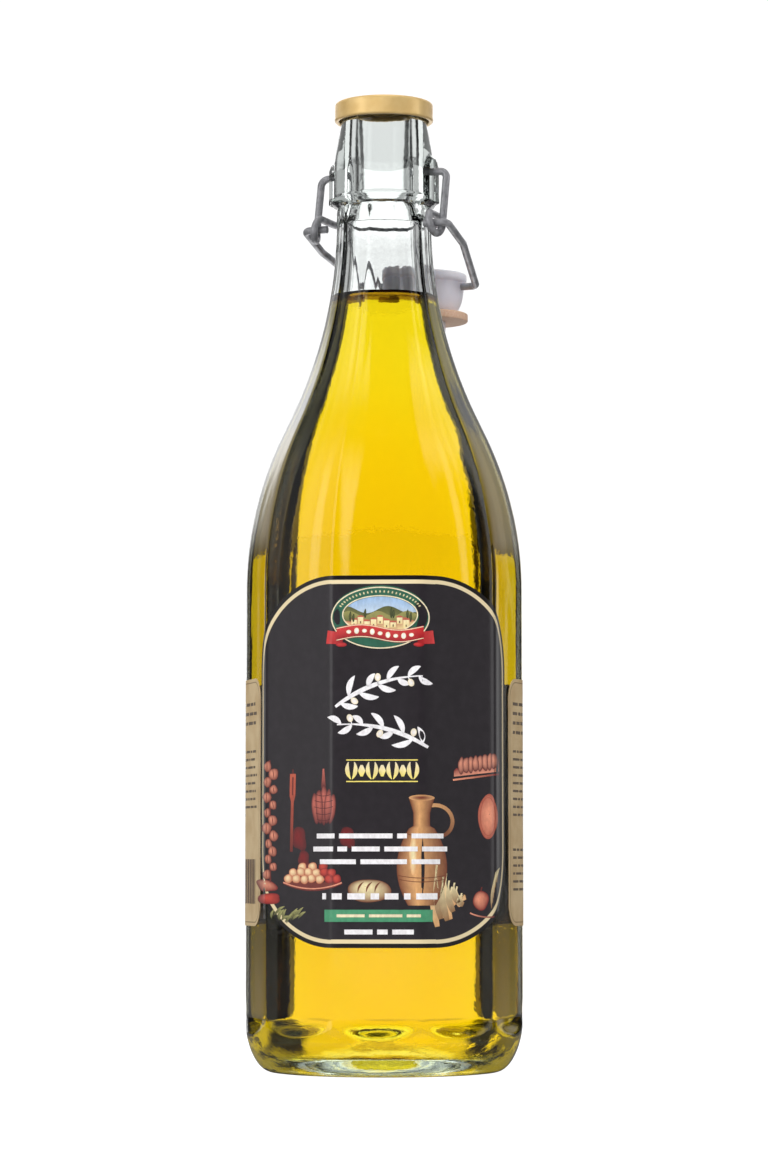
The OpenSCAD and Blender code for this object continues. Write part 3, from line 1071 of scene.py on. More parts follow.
@dataclass
class Artwork:
    """Flat printed shapes, in a label's plane: x across as seen from its front, z up."""

    points: list = field(default_factory=list)
    layers: list = field(default_factory=list)
    colours: list = field(default_factory=list)
    faces: list = field(default_factory=list)
    step: float = 0.8

    def _grid(self, rows: Sequence[Path], tones: Sequence[Sequence[tuple]], layer: int,
              closed: bool = False) -> None:
        """Adds a sheet of quads from rows of points and their colours."""
        base, count = len(self.points), len(rows[0])
        for row, row_tones in zip(rows, tones):
            self.points += row
            self.colours += row_tones
            self.layers += [layer] * count
        wrap = count if closed else count - 1
        for i in range(len(rows) - 1):
            for k in range(wrap):
                n = (k + 1) % count
                a, b = base + i * count, base + (i + 1) * count
                self.faces.append((a + k, a + n, b + n, b + k))

    def blob(self, x: float, z: float, rx: float, rz: float, heart: Hue, rim: Hue, layer: int,
             wobble: float = 0.0, light: tuple[float, float] = (-0.3, 0.3), seed: int = 0,
             turn: float = 0.0) -> None:
        """A rounded shape that is light at its heart and dark at its rim.

        Args:
            x, z: Its middle.
            rx, rz: Its half width and half height.
            heart: The ink at the lit spot.
            rim: The ink at the outline.
            layer: Its place in the stack of inks.
            wobble: Unevenness of the outline, as a share of its radius.
            light: The lit spot, in half widths from the middle.
            seed: Seed of the unevenness.
            turn: Its turn in degrees.
        """
        chance = random.Random(seed)
        phases = [chance.uniform(0, 6.28) for _ in range(3)]
        count = max(14, math.ceil(2 * math.pi * max(rx, rz) / self.step))
        steps = max(2, math.ceil(max(rx, rz) / self.step))
        cos_turn, sin_turn = math.cos(math.radians(turn)), math.sin(math.radians(turn))
        rows, tones = [], []
        for j in range(steps + 1):
            t = max(j / steps, 0.02)
            row = []
            for k in range(count):
                a = 2 * math.pi * k / count
                uneven = 1 + wobble * sum(math.sin((m + 2) * a + p) for m, p in enumerate(phases))
                dx = rx * (t * math.cos(a) * uneven + (1 - t) * light[0])
                dz = rz * (t * math.sin(a) * uneven + (1 - t) * light[1])
                row.append((x + dx * cos_turn - dz * sin_turn, z + dx * sin_turn + dz * cos_turn))
            rows.append(row)
            tones.append([mixed(heart.value, rim.value, t ** 1.6)] * count)
        self._grid(rows[::-1], tones[::-1], layer, closed=True)

    def stroke(self, path: Path, width: float | Callable[[float], float], ink: Hue, layer: int,
               end_ink: Hue | None = None) -> None:
        """A pen stroke along a path.

        Args:
            path: The path's points.
            width: The stroke's width, or its width at each share of the path's length.
            ink: Its ink at the start.
            layer: Its place in the stack of inks.
            end_ink: Its ink at the end, if another.
        """
        path = dense(path, self.step)
        count = len(path)
        left, right, tones = [], [], []
        for i, (x, z) in enumerate(path):
            x0, z0 = path[max(i - 1, 0)]
            x1, z1 = path[min(i + 1, count - 1)]
            length = math.hypot(x1 - x0, z1 - z0) or 1.0
            t = i / (count - 1)
            half = (width(t) if callable(width) else width) / 2
            side = (-(z1 - z0) / length * half, (x1 - x0) / length * half)
            left.append((x + side[0], z + side[1]))
            right.append((x - side[0], z - side[1]))
            tones.append(mixed(ink.value, (end_ink or ink).value, t))
        self._grid([right, left], [tones, tones], layer)

    def between(self, first: float, last: float, low: Callable[[float], float],
                high: Callable[[float], float], low_ink: Hue, high_ink: Hue, layer: int,
                upright: bool = False, rows: int = 6) -> None:
        """A field between two lines.

        Args:
            first, last: Where it starts and ends, across, or up if it is upright.
            low, high: The two lines: heights against x, or x against height if upright.
            low_ink, high_ink: The inks along the two lines.
            layer: Its place in the stack of inks.
            upright: True to run the lines upwards.
            rows: Strips between the lines.
        """
        count = max(2, math.ceil((last - first) / self.step) + 1)
        spots = [first + (last - first) * i / (count - 1) for i in range(count)]
        sheet, tones = [], []
        for j in range(rows + 1):
            t = j / rows
            values = [low(p) + (high(p) - low(p)) * t for p in spots]
            sheet.append([(v, p) if upright else (p, v) for p, v in zip(spots, values)])
            tones.append([mixed(low_ink.value, high_ink.value, t)] * count)
        if upright:
            sheet, tones = sheet[::-1], tones[::-1]
        self._grid(sheet, tones, layer)

    def ring(self, x: float, z: float, rx: float, rz: float, width: float, ink: Hue,
             layer: int) -> None:
        """An oval line."""
        count = max(40, math.ceil(2 * math.pi * max(rx, rz) / self.step))
        rows = []
        for w in (-width / 2, width / 2):
            rows.append([(x + (rx + w) * math.cos(-2 * math.pi * k / count),
                          z + (rz + w) * math.sin(-2 * math.pi * k / count))
                         for k in range(count)])
        tones = [[ink.value] * count] * 2
        self._grid(rows, tones, layer, closed=True)

    def words(self, lengths: Sequence[float], x: float, z: float, height: float, ink: Hue,
              layer: int, gap: float = 1.4) -> None:
        """A row of plain bars in place of words, centred on x."""
        total = sum(lengths) + gap * (len(lengths) - 1)
        at = x - total / 2
        for length in lengths:
            self.stroke([(at, z), (at + length, z)], height, ink, layer)
            at += length + gap


@dataclass
class Label:
    """A paper label on the panels: its sheet and its print."""

    body: GlassBody
    name: str
    middle: float
    half: float
    low: float
    height: float
    corner: tuple[float, float]
    finish: Finish
    slot: str
    paper: float = 0.17
    clear: float = 0.02
    ink_gap: float = 0.011

    def side_inset(self, up: float) -> float:
        """How far the rounded corners draw the side in at a height over the lower edge."""
        near = min(up, self.height - up)
        if near >= self.corner[1]:
            return 0.0
        off = 1 - near / self.corner[1]
        return self.corner[0] * (1 - math.sqrt(max(0.0, 1 - off * off)))

    def sheet(self) -> bpy.types.Object:
        """The paper: two faces and a thin edge, with its own flat coordinates."""
        q = [math.pi / 2 * i / 22 for i in range(23)]
        curve = [self.corner[1] * (1 - math.cos(a)) for a in q]
        rows = max(2, round((self.height - 2 * self.corner[1]) / 4))
        middle = list(np.linspace(self.corner[1], self.height - self.corner[1], rows + 1))[1:-1]
        ups = curve + middle + [self.height - c for c in reversed(curve)]
        columns = max(60, round(2 * self.half / 0.7))
        share = np.linspace(-1, 1, columns + 1)
        across = [share * (self.half - self.side_inset(u)) for u in ups]
        points, flat = [], []
        for lift in (self.clear + self.paper, self.clear):
            for up, xs in zip(ups, across):
                z = np.full_like(xs, self.low + up)
                points.append(self.body.on_panels(self.middle + xs, z, lift))
                flat += [(0.5 + x / self.half / 2, up / self.height) for x in xs]
        wide, tall = columns + 1, len(ups)
        back = wide * tall
        faces = []
        for i in range(tall - 1):
            for k in range(columns):
                a = i * wide + k
                faces.append((a, a + 1, a + wide + 1, a + wide))
                faces.append((back + a, back + a + wide, back + a + wide + 1, back + a + 1))
        rim = ([k for k in range(wide)] + [i * wide + columns for i in range(1, tall)]
               + [(tall - 1) * wide + k for k in range(columns - 1, -1, -1)]
               + [i * wide for i in range(tall - 2, 0, -1)])
        for a, b in zip(rim, rim[1:] + rim[:1]):
            faces.append((back + a, back + b, b, a))
        piece = mesh_piece(f"{self.name}_paper", np.concatenate(points), faces)
        layer = piece.data.uv_layers.new(name="sheet")
        for loop in piece.data.loops:
            layer.data[loop.index].uv = flat[loop.vertex_index]
        return finished(piece, self.finish)

    def printed(self, art: Artwork, unroll: bool) -> bpy.types.Object:
        """The print, laid on the paper.

        Args:
            art: The shapes.
            unroll: True if x is as seen from the front, and false if it runs along the panels.
        """
        xs = np.array([p[0] for p in art.points])
        ups = np.array([p[1] for p in art.points])
        s = self.unrolled(xs) if unroll else self.middle + xs
        lift = self.clear + self.paper + self.ink_gap * (1 + np.array(art.layers, float))
        points = self.body.on_panels(s, self.low + ups, lift)
        piece = mesh_piece(f"{self.name}_print", points, art.faces)
        inks = piece.data.color_attributes.new(name="ink", type="FLOAT_COLOR", domain="POINT")
        inks.data.foreach_set("color", np.array(art.colours, np.float32).ravel())
        return finished(piece, Ink())

    def unrolled(self, x: np.ndarray) -> np.ndarray:
        """Distance along the panels, from where it is seen from straight in front."""
        turn = 2 * math.pi / self.body.sides
        w = self.body.panel_w
        first, second = w / 2, w / 2 + w * math.cos(turn)
        size = np.abs(x)
        s = np.where(size < first, size, first + (size - first) / math.cos(turn))
        s = np.where(size > second, 1.5 * w + (size - second) / math.cos(2 * turn), s)
        return np.sign(x) * s

    def dress(self, art: Artwork, unroll: bool) -> None:
        """Builds the sheet and the print and puts them in the frame."""
        placed(self.sheet(), "bottle", self.slot, self.name)
        placed(self.printed(art, unroll), "bottle", self.slot)


def wave(x: float, length: float, phase: float = 0.0) -> float:
    """A sine wave of a given length."""
    return math.sin(2 * math.pi * x / length + phase)


def spiral(x: float, z: float, r0: float, r1: float, first: float, last: float) -> Path:
    """A spiral round a point, between two radii and two angles in degrees."""
    steps = max(8, int(abs(last - first) / 12))
    result = []
    for i in range(steps + 1):
        t = i / steps
        a = math.radians(first + (last - first) * t)
        r = r0 + (r1 - r0) * t
        result.append((x + r * math.cos(a), z + r * math.sin(a)))
    return result


def bowed(start: tuple[float, float], end: tuple[float, float], bow: float) -> Path:
    """A curve between two points that bows to its left."""
    (x0, z0), (x1, z1) = start, end
    result = []
    for i in range(17):
        t = i / 16
        off = 4 * bow * t * (1 - t)
        length = math.hypot(x1 - x0, z1 - z0)
        result.append((x0 + (x1 - x0) * t - (z1 - z0) / length * off,
                       z0 + (z1 - z0) * t + (x1 - x0) / length * off))
    return result


@dataclass
class FrontPrint:
    """The front label's print: an oval view, an olive sprig, and a larder still life."""

    art: Artwork = field(default_factory=Artwork)

    def emblem(self, x: float = 0.8, z: float = 101.5) -> None:
        """A green oval ring round a village in the hills, and a red ribbon."""
        art = self.art
        rx, rz, in_x, in_z = 15.0, 9.4, 11.5, 5.9
        lift = 0.9
        mid = z + lift

        def edge(at: float) -> float:
            """Half height of the inner oval at a place across."""
            return in_z * math.sqrt(max(0.0, 1 - ((at - x) / in_x) ** 2))

        art.between(x - in_x, x + in_x, lambda p: mid - edge(p), lambda p: mid + edge(p),
                    Hue.SKY_LOW, Hue.SKY, 0, rows=12)
        hills = [(1.6, 1.1, 13.0, 0.4, Hue.HILL, Hue.HILL_DARK), (0.4, 0.8, 9.0, 2.0,
                 Hue.HILL_DARK, Hue.HILL), (-1.4, 0.6, 7.0, 1.0, Hue.WALLS, Hue.ROOF)]
        for layer, (top, swing, length, phase, low_ink, high_ink) in enumerate(hills, 1):
            def line(p: float, top: float = top, swing: float = swing, length: float = length,
                     phase: float = phase) -> float:
                """Top of this row of hills, kept inside the oval."""
                return min(mid + top + swing * wave(p - x, length, phase), mid + edge(p))
            art.between(x - in_x + 0.1, x + in_x - 0.1, lambda p: mid - edge(p), line,
                        low_ink, high_ink, layer, rows=8)
        chance = random.Random(5)
        for i in range(9):
            at = x - 8.0 + 2.0 * i
            base = mid - 3.6 + 0.8 * wave(i, 3.1)
            tall = 1.5 + chance.uniform(0, 0.9)
            art.between(at - 0.85, at + 0.85, lambda p: base, lambda p: base + tall,
                        Hue.WALLS, Hue.LINEN, 5, rows=2)
            art.between(at - 1.1, at + 1.1, lambda p: base + tall,
                        lambda p: base + tall + 0.75 - abs(p - at) * 0.5, Hue.ROOF, Hue.WOOD, 6,
                        rows=2)
            art.stroke([(at, base + 0.2), (at, base + 0.9)], 0.35, Hue.BROWN, 6)
        for at, up, tall in [(-9.2, -0.6, 1.5), (-8.2, -1.0, 1.2), (-4.6, 0.4, 1.3), (3.4, 0.6, 1.6),
                             (4.1, 0.2, 1.2), (8.4, 0.2, 1.3), (9.4, -0.8, 1.4)]:
            art.blob(x + at, mid + up, 0.42, tall, Hue.HILL_DARK, Hue.TREE, 7, 0.08)
        art.ring(x, z + 0.45, (rx + in_x) / 2, (rz + in_z + 0.4) / 2, rx - in_x, Hue.GREEN, 8)
        art.ring(x, z, rx, rz, 0.38, Hue.CREAM, 9)
        art.ring(x, mid, in_x, in_z, 0.34, Hue.CREAM, 9)
        for i in range(25):
            a = math.radians(24 + 132 * i / 24)
            art.blob(x + 13.3 * math.cos(a), z + 0.5 + 7.6 * math.sin(a), 0.26, 0.42, Hue.CREAM,
                     Hue.LEAF, 10, turn=math.degrees(a) - 90)
        self.ribbon(x, z - 5.2)

    def ribbon(self, x: float, z: float) -> None:
        """A red ribbon in a slow wave, with folded tails and a cream chain of lozenges."""
        art, reach, deep = self.art, 13.4, 4.1

        def lower(p: float) -> float:
            """The ribbon's lower edge."""
            return z - 1.7 - 0.85 * wave(p - x, 24.0)

        for side in (-1, 1):
            tail = [(x + side * (reach - 2.0), z - 1.3), (x + side * (reach + 3.0), z - 0.7)]
            art.stroke(tail, lambda t: 3.6 + 0.5 * t, Hue.DEEP_RED, 11, Hue.RED)
            art.blob(x + side * (reach - 1.5), z - 3.1, 1.7, 0.7, Hue.RED, Hue.DEEP_RED, 12)
        art.between(x - reach, x + reach, lower, lambda p: lower(p) + deep, Hue.DEEP_RED,
                    Hue.RED, 13)
        for off in (0.25, deep - 0.25):
            line = [(x - reach + reach * i / 12, lower(x - reach + reach * i / 12) + off)
                    for i in range(25)]
            art.stroke(line, 0.24, Hue.CREAM, 14)
        for i in range(9):
            at = x - 9.6 + 2.4 * i
            middle = lower(at) + deep / 2
            art.blob(at, middle, 0.75, 0.95 if i % 2 else 0.6, Hue.WHITE, Hue.CREAM, 14,
                     light=(0, 0))

    def sprig(self, start: tuple[float, float], end: tuple[float, float], bow: float,
              leaves: int, size: float, stem: float) -> None:
        """A curved olive twig with pairs of leaves and a few fruits, in white."""
        path = bowed(start, end, bow)
        self.art.stroke(path, lambda t: stem * (0.45 + 1.1 * math.sin(math.pi * min(1, t + 0.15))),
                        Hue.WHITE, 2)
        for i in range(leaves):
            t = (i + 0.6) / leaves
            spot = t * (len(path) - 1)
            k = min(int(spot), len(path) - 2)
            (x0, z0), (x1, z1) = path[k], path[k + 1]
            part = spot - k
            x, z = x0 + (x1 - x0) * part, z0 + (z1 - z0) * part
            heading = math.atan2(z1 - z0, x1 - x0)
            side = 1 if i % 2 else -1
            lean = heading + side * math.radians(46 - 16 * t)
            reach = size * (1.0 - 0.35 * t) * (1.1 if i % 3 else 0.85)
            tip = (x + reach * math.cos(lean), z + reach * math.sin(lean))
            self.art.stroke(bowed((x, z), tip, side * reach * 0.12),
                            lambda w: 0.1 + 1.75 * math.sin(math.pi * w) ** 0.8, Hue.WHITE, 2)
            if i % 3 == 1:
                lean = heading - side * math.radians(70)
                fx, fz = x + 2.0 * math.cos(lean), z + 2.0 * math.sin(lean)
                self.art.stroke([(x, z), (fx, fz)], 0.3, Hue.WHITE, 2)
                self.art.blob(fx, fz, 0.95, 1.25, Hue.WHITE, Hue.CREAM, 3, light=(0, 0),
                              turn=math.degrees(lean) + 90)

    def flourish(self) -> None:
        """Two white twigs that lean opposite ways, in place of a title."""
        self.sprig((-13.0, 74.0), (14.0, 83.5), 2.4, 9, 6.6, 0.9)
        self.sprig((15.5, 61.5), (-12.5, 68.5), -2.4, 9, 6.6, 0.9)

    def gold_rule(self, z: float = 54.3) -> None:
        """A gold ornament: a row of pointed leaves and lozenges between two fine rules."""
        art = self.art
        for up in (-1, 1):
            art.stroke([(-9.6, z + up * 3.3), (12.4, z + up * 3.3)], 0.35, Hue.GOLD, 2)
        for i in range(7):
            x = -8.0 + 3.15 * i
            if i % 2:
                art.between(x - 1.1, x + 1.1, lambda p: z - 2.6 * (1 - abs(p - x) / 1.15),
                            lambda p: z + 2.6 * (1 - abs(p - x) / 1.15), Hue.GOLD, Hue.CREAM, 3)
            else:
                for side in (-1, 1):
                    art.stroke(bowed((x + side * 0.2, z - 2.6), (x + side * 0.9, z + 2.7),
                                     side * -0.7),
                               lambda t: 0.2 + 1.1 * math.sin(math.pi * t), Hue.GOLD, 3, Hue.CREAM)

    def garlic(self, x: float = -34.0, top: float = 57.0) -> None:
        """A hanging string of garlic heads on the left."""
        chance = random.Random(11)
        self.art.stroke([(x - 0.3, top + 1.0), (x, 20.0)], 0.5, Hue.WOOD_DARK, 1)
        for i in range(15):
            z = top - 2.4 * i - 1.0
            side = 1 if i % 2 else -1
            r = chance.uniform(1.25, 1.75)
            at = x + side * chance.uniform(0.7, 1.35)
            self.art.blob(at, z, r * 0.95, r * 1.1, Hue.GARLIC, Hue.GARLIC_DARK, 2 + i % 3, 0.04,
                          seed=i)
            self.art.stroke([(at - 0.2, z + r * 0.9), (at + side * 0.2, z - r * 0.8)],
                            lambda t: 0.22 * math.sin(math.pi * t) + 0.05, Hue.WOOD_DARK, 5)

    def paddle(self, x: float = -26.6) -> None:
        """A long wooden paddle that hangs from its flat end."""
        self.art.stroke([(x, 55.0), (x, 53.2)], 0.3, Hue.WOOD_DARK, 1)
        self.art.stroke([(x, 53.6), (x - 0.5, 29.5)],
                        lambda t: 1.9 if t < 0.28 else 0.9 + 1.0 * max(0.0, 0.36 - t) / 0.08,
                        Hue.WOOD, 2, Hue.WOOD_DARK)
        self.art.stroke([(x, 52.6), (x - 0.1, 47.0)], 0.45, Hue.WOOD_DARK, 3)

    def sausages(self, x: float = -16.7, z: float = 43.5) -> None:
        """A bundle of dried sausages tied at the top."""
        art = self.art
        art.stroke([(x, z + 11.5), (x, z + 5.5)], lambda t: 0.5 + 1.0 * t, Hue.MEAT, 1,
                   Hue.MEAT_DARK)
        for i, off in enumerate((-2.6, -1.3, 0.1, 1.4, 2.6)):
            tilt = off * 2.4
            art.blob(x + off, z - abs(off) * 0.5 + 0.5, 1.15, 6.2 - abs(off) * 0.6, Hue.MEAT,
                     Hue.MEAT_DARK, 2 + i % 2, 0.03, light=(-0.2, 0.4), turn=-tilt, seed=i)
        for i in range(5):
            up = z + 3.6 - 1.9 * i
            reach = 3.1 - abs(i - 1.6) * 0.42
            art.stroke(bowed((x - reach, up), (x + reach, up), -0.5), 0.22, Hue.MEAT_DARK, 4)

    def onions(self, x: float = -20.3, z: float = 19.6) -> None:
        """A shallow dish heaped with onions and two red apples."""
        art = self.art
        art.between(x - 9.4, x + 9.4, lambda p: z - 2.2 * (1 - ((p - x) / 9.6) ** 2),
                    lambda p: z + 0.5, Hue.WOOD_DARK, Hue.GARLIC_DARK, 1)
        art.stroke(bowed((x - 9.4, z + 0.4), (x + 9.4, z + 0.4), -1.9), 0.4, Hue.GARLIC, 6)
        chance = random.Random(3)
        for row, (count, reach, up) in enumerate(((7, 7.6, 1.5), (6, 6.2, 3.5), (3, 3.4, 5.1))):
            for i in range(count):
                at = x - reach + 2 * reach * i / (count - 1) + chance.uniform(-0.25, 0.25)
                red = at > x + 3.4
                art.blob(at, z + up + chance.uniform(-0.2, 0.2), 1.45, 1.4,
                         Hue.APPLE if red else Hue.ONION, Hue.APPLE_DARK if red else
                         Hue.ONION_DARK, 5 - row, 0.03, seed=10 * row + i)

    def drapery(self) -> None:
        """Dark red cloths and greens at the lower left."""
        art = self.art
        art.blob(-35.5, 19.0, 3.6, 1.9, Hue.GARLIC, Hue.APPLE_DARK, 1, 0.06, seed=4, turn=-12)
        art.blob(-34.6, 14.9, 4.2, 1.7, Hue.APPLE, Hue.APPLE_DARK, 2, 0.05, seed=5, turn=4)
        for at, up, wide, tall in ((-24.5, 33.5, 2.4, 3.6), (-9.2, 33.8, 2.4, 3.2),
                                   (-23.0, 27.2, 1.9, 2.6)):
            art.blob(at, up, wide, tall, Hue.APPLE_DARK, Hue.MEAT_DARK, 1, 0.08, seed=int(up))
        chance = random.Random(8)
        for i in range(15):
            x = -33.5 + 0.62 * i
            z = 11.2 - 0.1 * i + chance.uniform(-1.2, 1.2)
            lean = math.radians(chance.uniform(20, 75))
            size = chance.uniform(2.4, 4.2)
            art.stroke(bowed((x, z - 2.0), (x + size * math.cos(lean), z + size * math.sin(lean)
                                           - 1.5), 0.4),
                       lambda t: 0.1 + 0.75 * math.sin(math.pi * t), Hue.LEAF_DARK, 2 + i % 3,
                       Hue.LEAF)

    def jug(self, x: float = 13.5, foot: float = 13.0) -> None:
        """An earthenware jug beside a folded linen cloth and a loaf."""
        art = self.art

        def half(z: float) -> float:
            """Half width of the jug at a height over its foot."""
            t = (z - foot) / 33.0
            belly = 7.6 * math.sin(math.pi * min(1, (t + 0.16) / 1.02)) ** 0.8 if t < 0.72 else 0
            neck = 2.5 + 1.4 * max(0.0, t - 0.86) / 0.14
            return max(belly, neck if t > 0.55 else 0, 3.2 if t < 0.1 else 0)

        top = foot + 33
        art.between(foot, top, lambda z: x - half(z), lambda z: x - 0.25 * half(z),
                    Hue.CLAY_DARK, Hue.CLAY, 2, upright=True)
        art.between(foot, top, lambda z: x - 0.26 * half(z), lambda z: x + half(z), Hue.CLAY,
                    Hue.CLAY_DARK, 2, upright=True)
        art.blob(x - 2.6, foot + 15.5, 1.2, 6.0, Hue.LINEN, Hue.CLAY, 3, 0.04, light=(0, 0))
        art.blob(x, top, 3.9, 0.9, Hue.WOOD_DARK, Hue.CLAY, 4, light=(0, 0))
        handle = spiral(x + 4.4, foot + 25.5, 5.4, 4.6, 118, -62)
        art.stroke(handle, 1.15, Hue.CLAY, 1, Hue.CLAY_DARK)
        for up in (8.0, 9.2, 22.0):
            art.stroke(bowed((x - half(foot + up) * 0.96, foot + up),
                             (x + half(foot + up) * 0.96, foot + up), -0.8), 0.25,
                       Hue.CLAY_DARK, 4)

    def linen(self) -> None:
        """A pale cloth that falls in folds over the table's edge, and a round loaf."""
        art = self.art
        for i in range(11):
            x = 18.2 + 1.05 * i - 0.02 * i * i
            low = 6.5 + 0.9 * i + 1.5 * wave(i, 5.0)
            high = 25.0 - 0.85 * i + 1.3 * wave(i, 3.3)
            art.stroke(bowed((x, low), (x - 1.2, high), 0.8),
                       lambda t: 0.5 + 1.5 * math.sin(math.pi * min(1, t + 0.2)),
                       Hue.LINEN_DARK if i % 2 else Hue.CLAY, 1 + i % 2, Hue.LINEN)
        art.blob(-2.5, 17.5, 6.6, 3.6, Hue.LINEN, Hue.CLAY_DARK, 2, 0.02, light=(-0.2, 0.4), seed=7)
        for i in range(3):
            art.stroke(bowed((-6.0 + 2.6 * i, 17.0), (-4.2 + 2.6 * i, 20.2), 0.5),
                       lambda t: 0.1 + 0.5 * math.sin(math.pi * t), Hue.CLAY_DARK, 3)

    def right_side(self) -> None:
        """Hanging bacon, a cheese, an onion and a flask at the right."""
        art = self.art
        art.between(23.2, 36.9, lambda p: 52.6 + 0.13 * (p - 23), lambda p: 54.6 + 0.24 * (p - 23)
                    + 0.5 * wave(p, 2.6), Hue.GARLIC, Hue.APPLE_DARK, 1)
        for i in range(8):
            x = 25.4 + 1.45 * i
            art.blob(x, 56.0 + 0.24 * i, 1.0, 2.6, Hue.GARLIC, Hue.MEAT_DARK, 2 + i % 2, 0.05,
                     seed=i)
        art.stroke([(22.9, 51.6), (36.9, 53.6)], 0.55, Hue.CHEESE, 4, Hue.APPLE_DARK)
        art.blob(33.6, 40.4, 3.1, 6.8, Hue.CHEESE, Hue.CHEESE_DARK, 1, 0.02, light=(0.1, 0.1))
        art.ring(33.6, 40.4, 2.4, 5.9, 0.22, Hue.CHEESE_DARK, 3)
        art.blob(31.3, 14.4, 2.4, 3.0, Hue.CHEESE, Hue.APPLE_DARK, 2, 0.03, seed=2)
        art.stroke([(31.3, 17.2), (31.6, 18.6)], 0.4, Hue.WOOD_DARK, 1)
        for i in range(6):
            art.stroke(bowed((34.6 + 0.35 * i, 12.0 + 1.6 * i), (36.0 + 0.2 * i, 21.5 + 0.6 * i),
                             0.5), lambda t: 0.15 + 0.6 * math.sin(math.pi * t), Hue.LINEN_DARK,
                       1 + i % 2, Hue.LINEN)
        art.stroke(bowed((28.0, 10.6), (35.6, 9.4), -0.6), 0.45, Hue.GARLIC, 1, Hue.WOOD_DARK)

    def small_rows(self) -> None:
        """Plain bars in place of the rows of words, and the green bar."""
        art = self.art
        rows = [((5.6, 16.4, 3.0, 9.6), 34.3), ((6.2, 3.0, 8.6, 10.2, 7.4), 30.3),
                ((11.2, 14.2, 8.6), 26.4)]
        for lengths, z in rows:
            art.words(lengths, 0.6, z, 1.5, Hue.WHITE, 9)
        art.words((1.2, 3.2, 5.4, 2.6, 4.2, 2.0, 6.4), 0.6, 15.8, 1.9, Hue.WHITE, 9, gap=1.7)
        art.between(-16.3, 16.8, lambda p: 8.0, lambda p: 11.7, Hue.BAR_GREEN, Hue.BAR_GREEN, 9,
                    rows=3)
        art.words((8.6, 10.2, 4.4), 0.4, 9.85, 0.9, Hue.CREAM, 10, gap=1.3)
        art.words((8.6, 3.2, 6.6), 0.5, 4.9, 1.5, Hue.WHITE, 9)

    def build(self) -> Artwork:
        """All of the front print."""
        self.emblem()
        self.flourish()
        self.gold_rule()
        self.drapery()
        self.garlic()
        self.paddle()
        self.sausages()
        self.onions()
        self.linen()
        self.jug()
        self.right_side()
        self.small_rows()
        return self.art


@dataclass
class BackPrint:
    """The back label's print: plain bars for small print, a leaf and a ruled box."""

    half: float
    height: float
    art: Artwork = field(default_factory=Artwork)

    def paragraph(self, left: float, right: float, top: float, rows: int, pitch: float,
                  bar: float, seed: int) -> None:
        """Rows of bars of uneven lengths, in place of words."""
        chance = random.Random(seed)
        for row in range(rows):
            x, z = left, top - row * pitch
            end = right - (chance.uniform(3, 16) if row == rows - 1 else chance.uniform(0, 2.5))
            while x < end - 1.5:
                length = min(chance.uniform(1.6, 6.5), end - x)
                self.art.stroke([(x, z), (x + length, z)], bar, Hue.TEXT_BROWN, 1)
                x += length + 0.9

    def build(self) -> Artwork:
        """All of the back print."""
        art, h = self.art, self.height
        lefts = [(-self.half + 4.0, -self.half + 38.0), (-31.0, 31.0),
                 (self.half - 38.0, self.half - 4.0)]
        for i, (left, right) in enumerate(lefts):
            self.paragraph(left, right, h - 8.0, 4, 3.0, 1.0, 20 + i)
            self.paragraph(left, right, h - 23.0, 9, 2.5, 0.75, 30 + i)
        self.paragraph(-31, 31, 24.0, 5, 2.5, 0.75, 40)
        self.paragraph(-self.half + 4, -self.half + 30, 24.0, 6, 2.5, 0.75, 41)
        x = self.half - 30.0
        for i in range(30):
            width = (0.35, 0.55, 0.9, 0.4)[(i * 7) % 4]
            art.stroke([(x, 7.0), (x, 21.0)], width, Hue.BROWN, 1)
            x += width / 2 + (0.45, 0.7, 0.5)[i % 3]
        for side in (-1, 1):
            art.stroke(bowed((0, 30.5), (side * 9.0, 33.0), side * 1.2),
                       lambda t: 0.2 + 2.2 * math.sin(math.pi * t), Hue.GREEN, 1, Hue.LEAF_DARK)
        art.blob(0, 30.6, 1.6, 2.0, Hue.LEAF, Hue.LEAF_DARK, 2)
        return art


# ---------------------------------------------------------------------------- wires


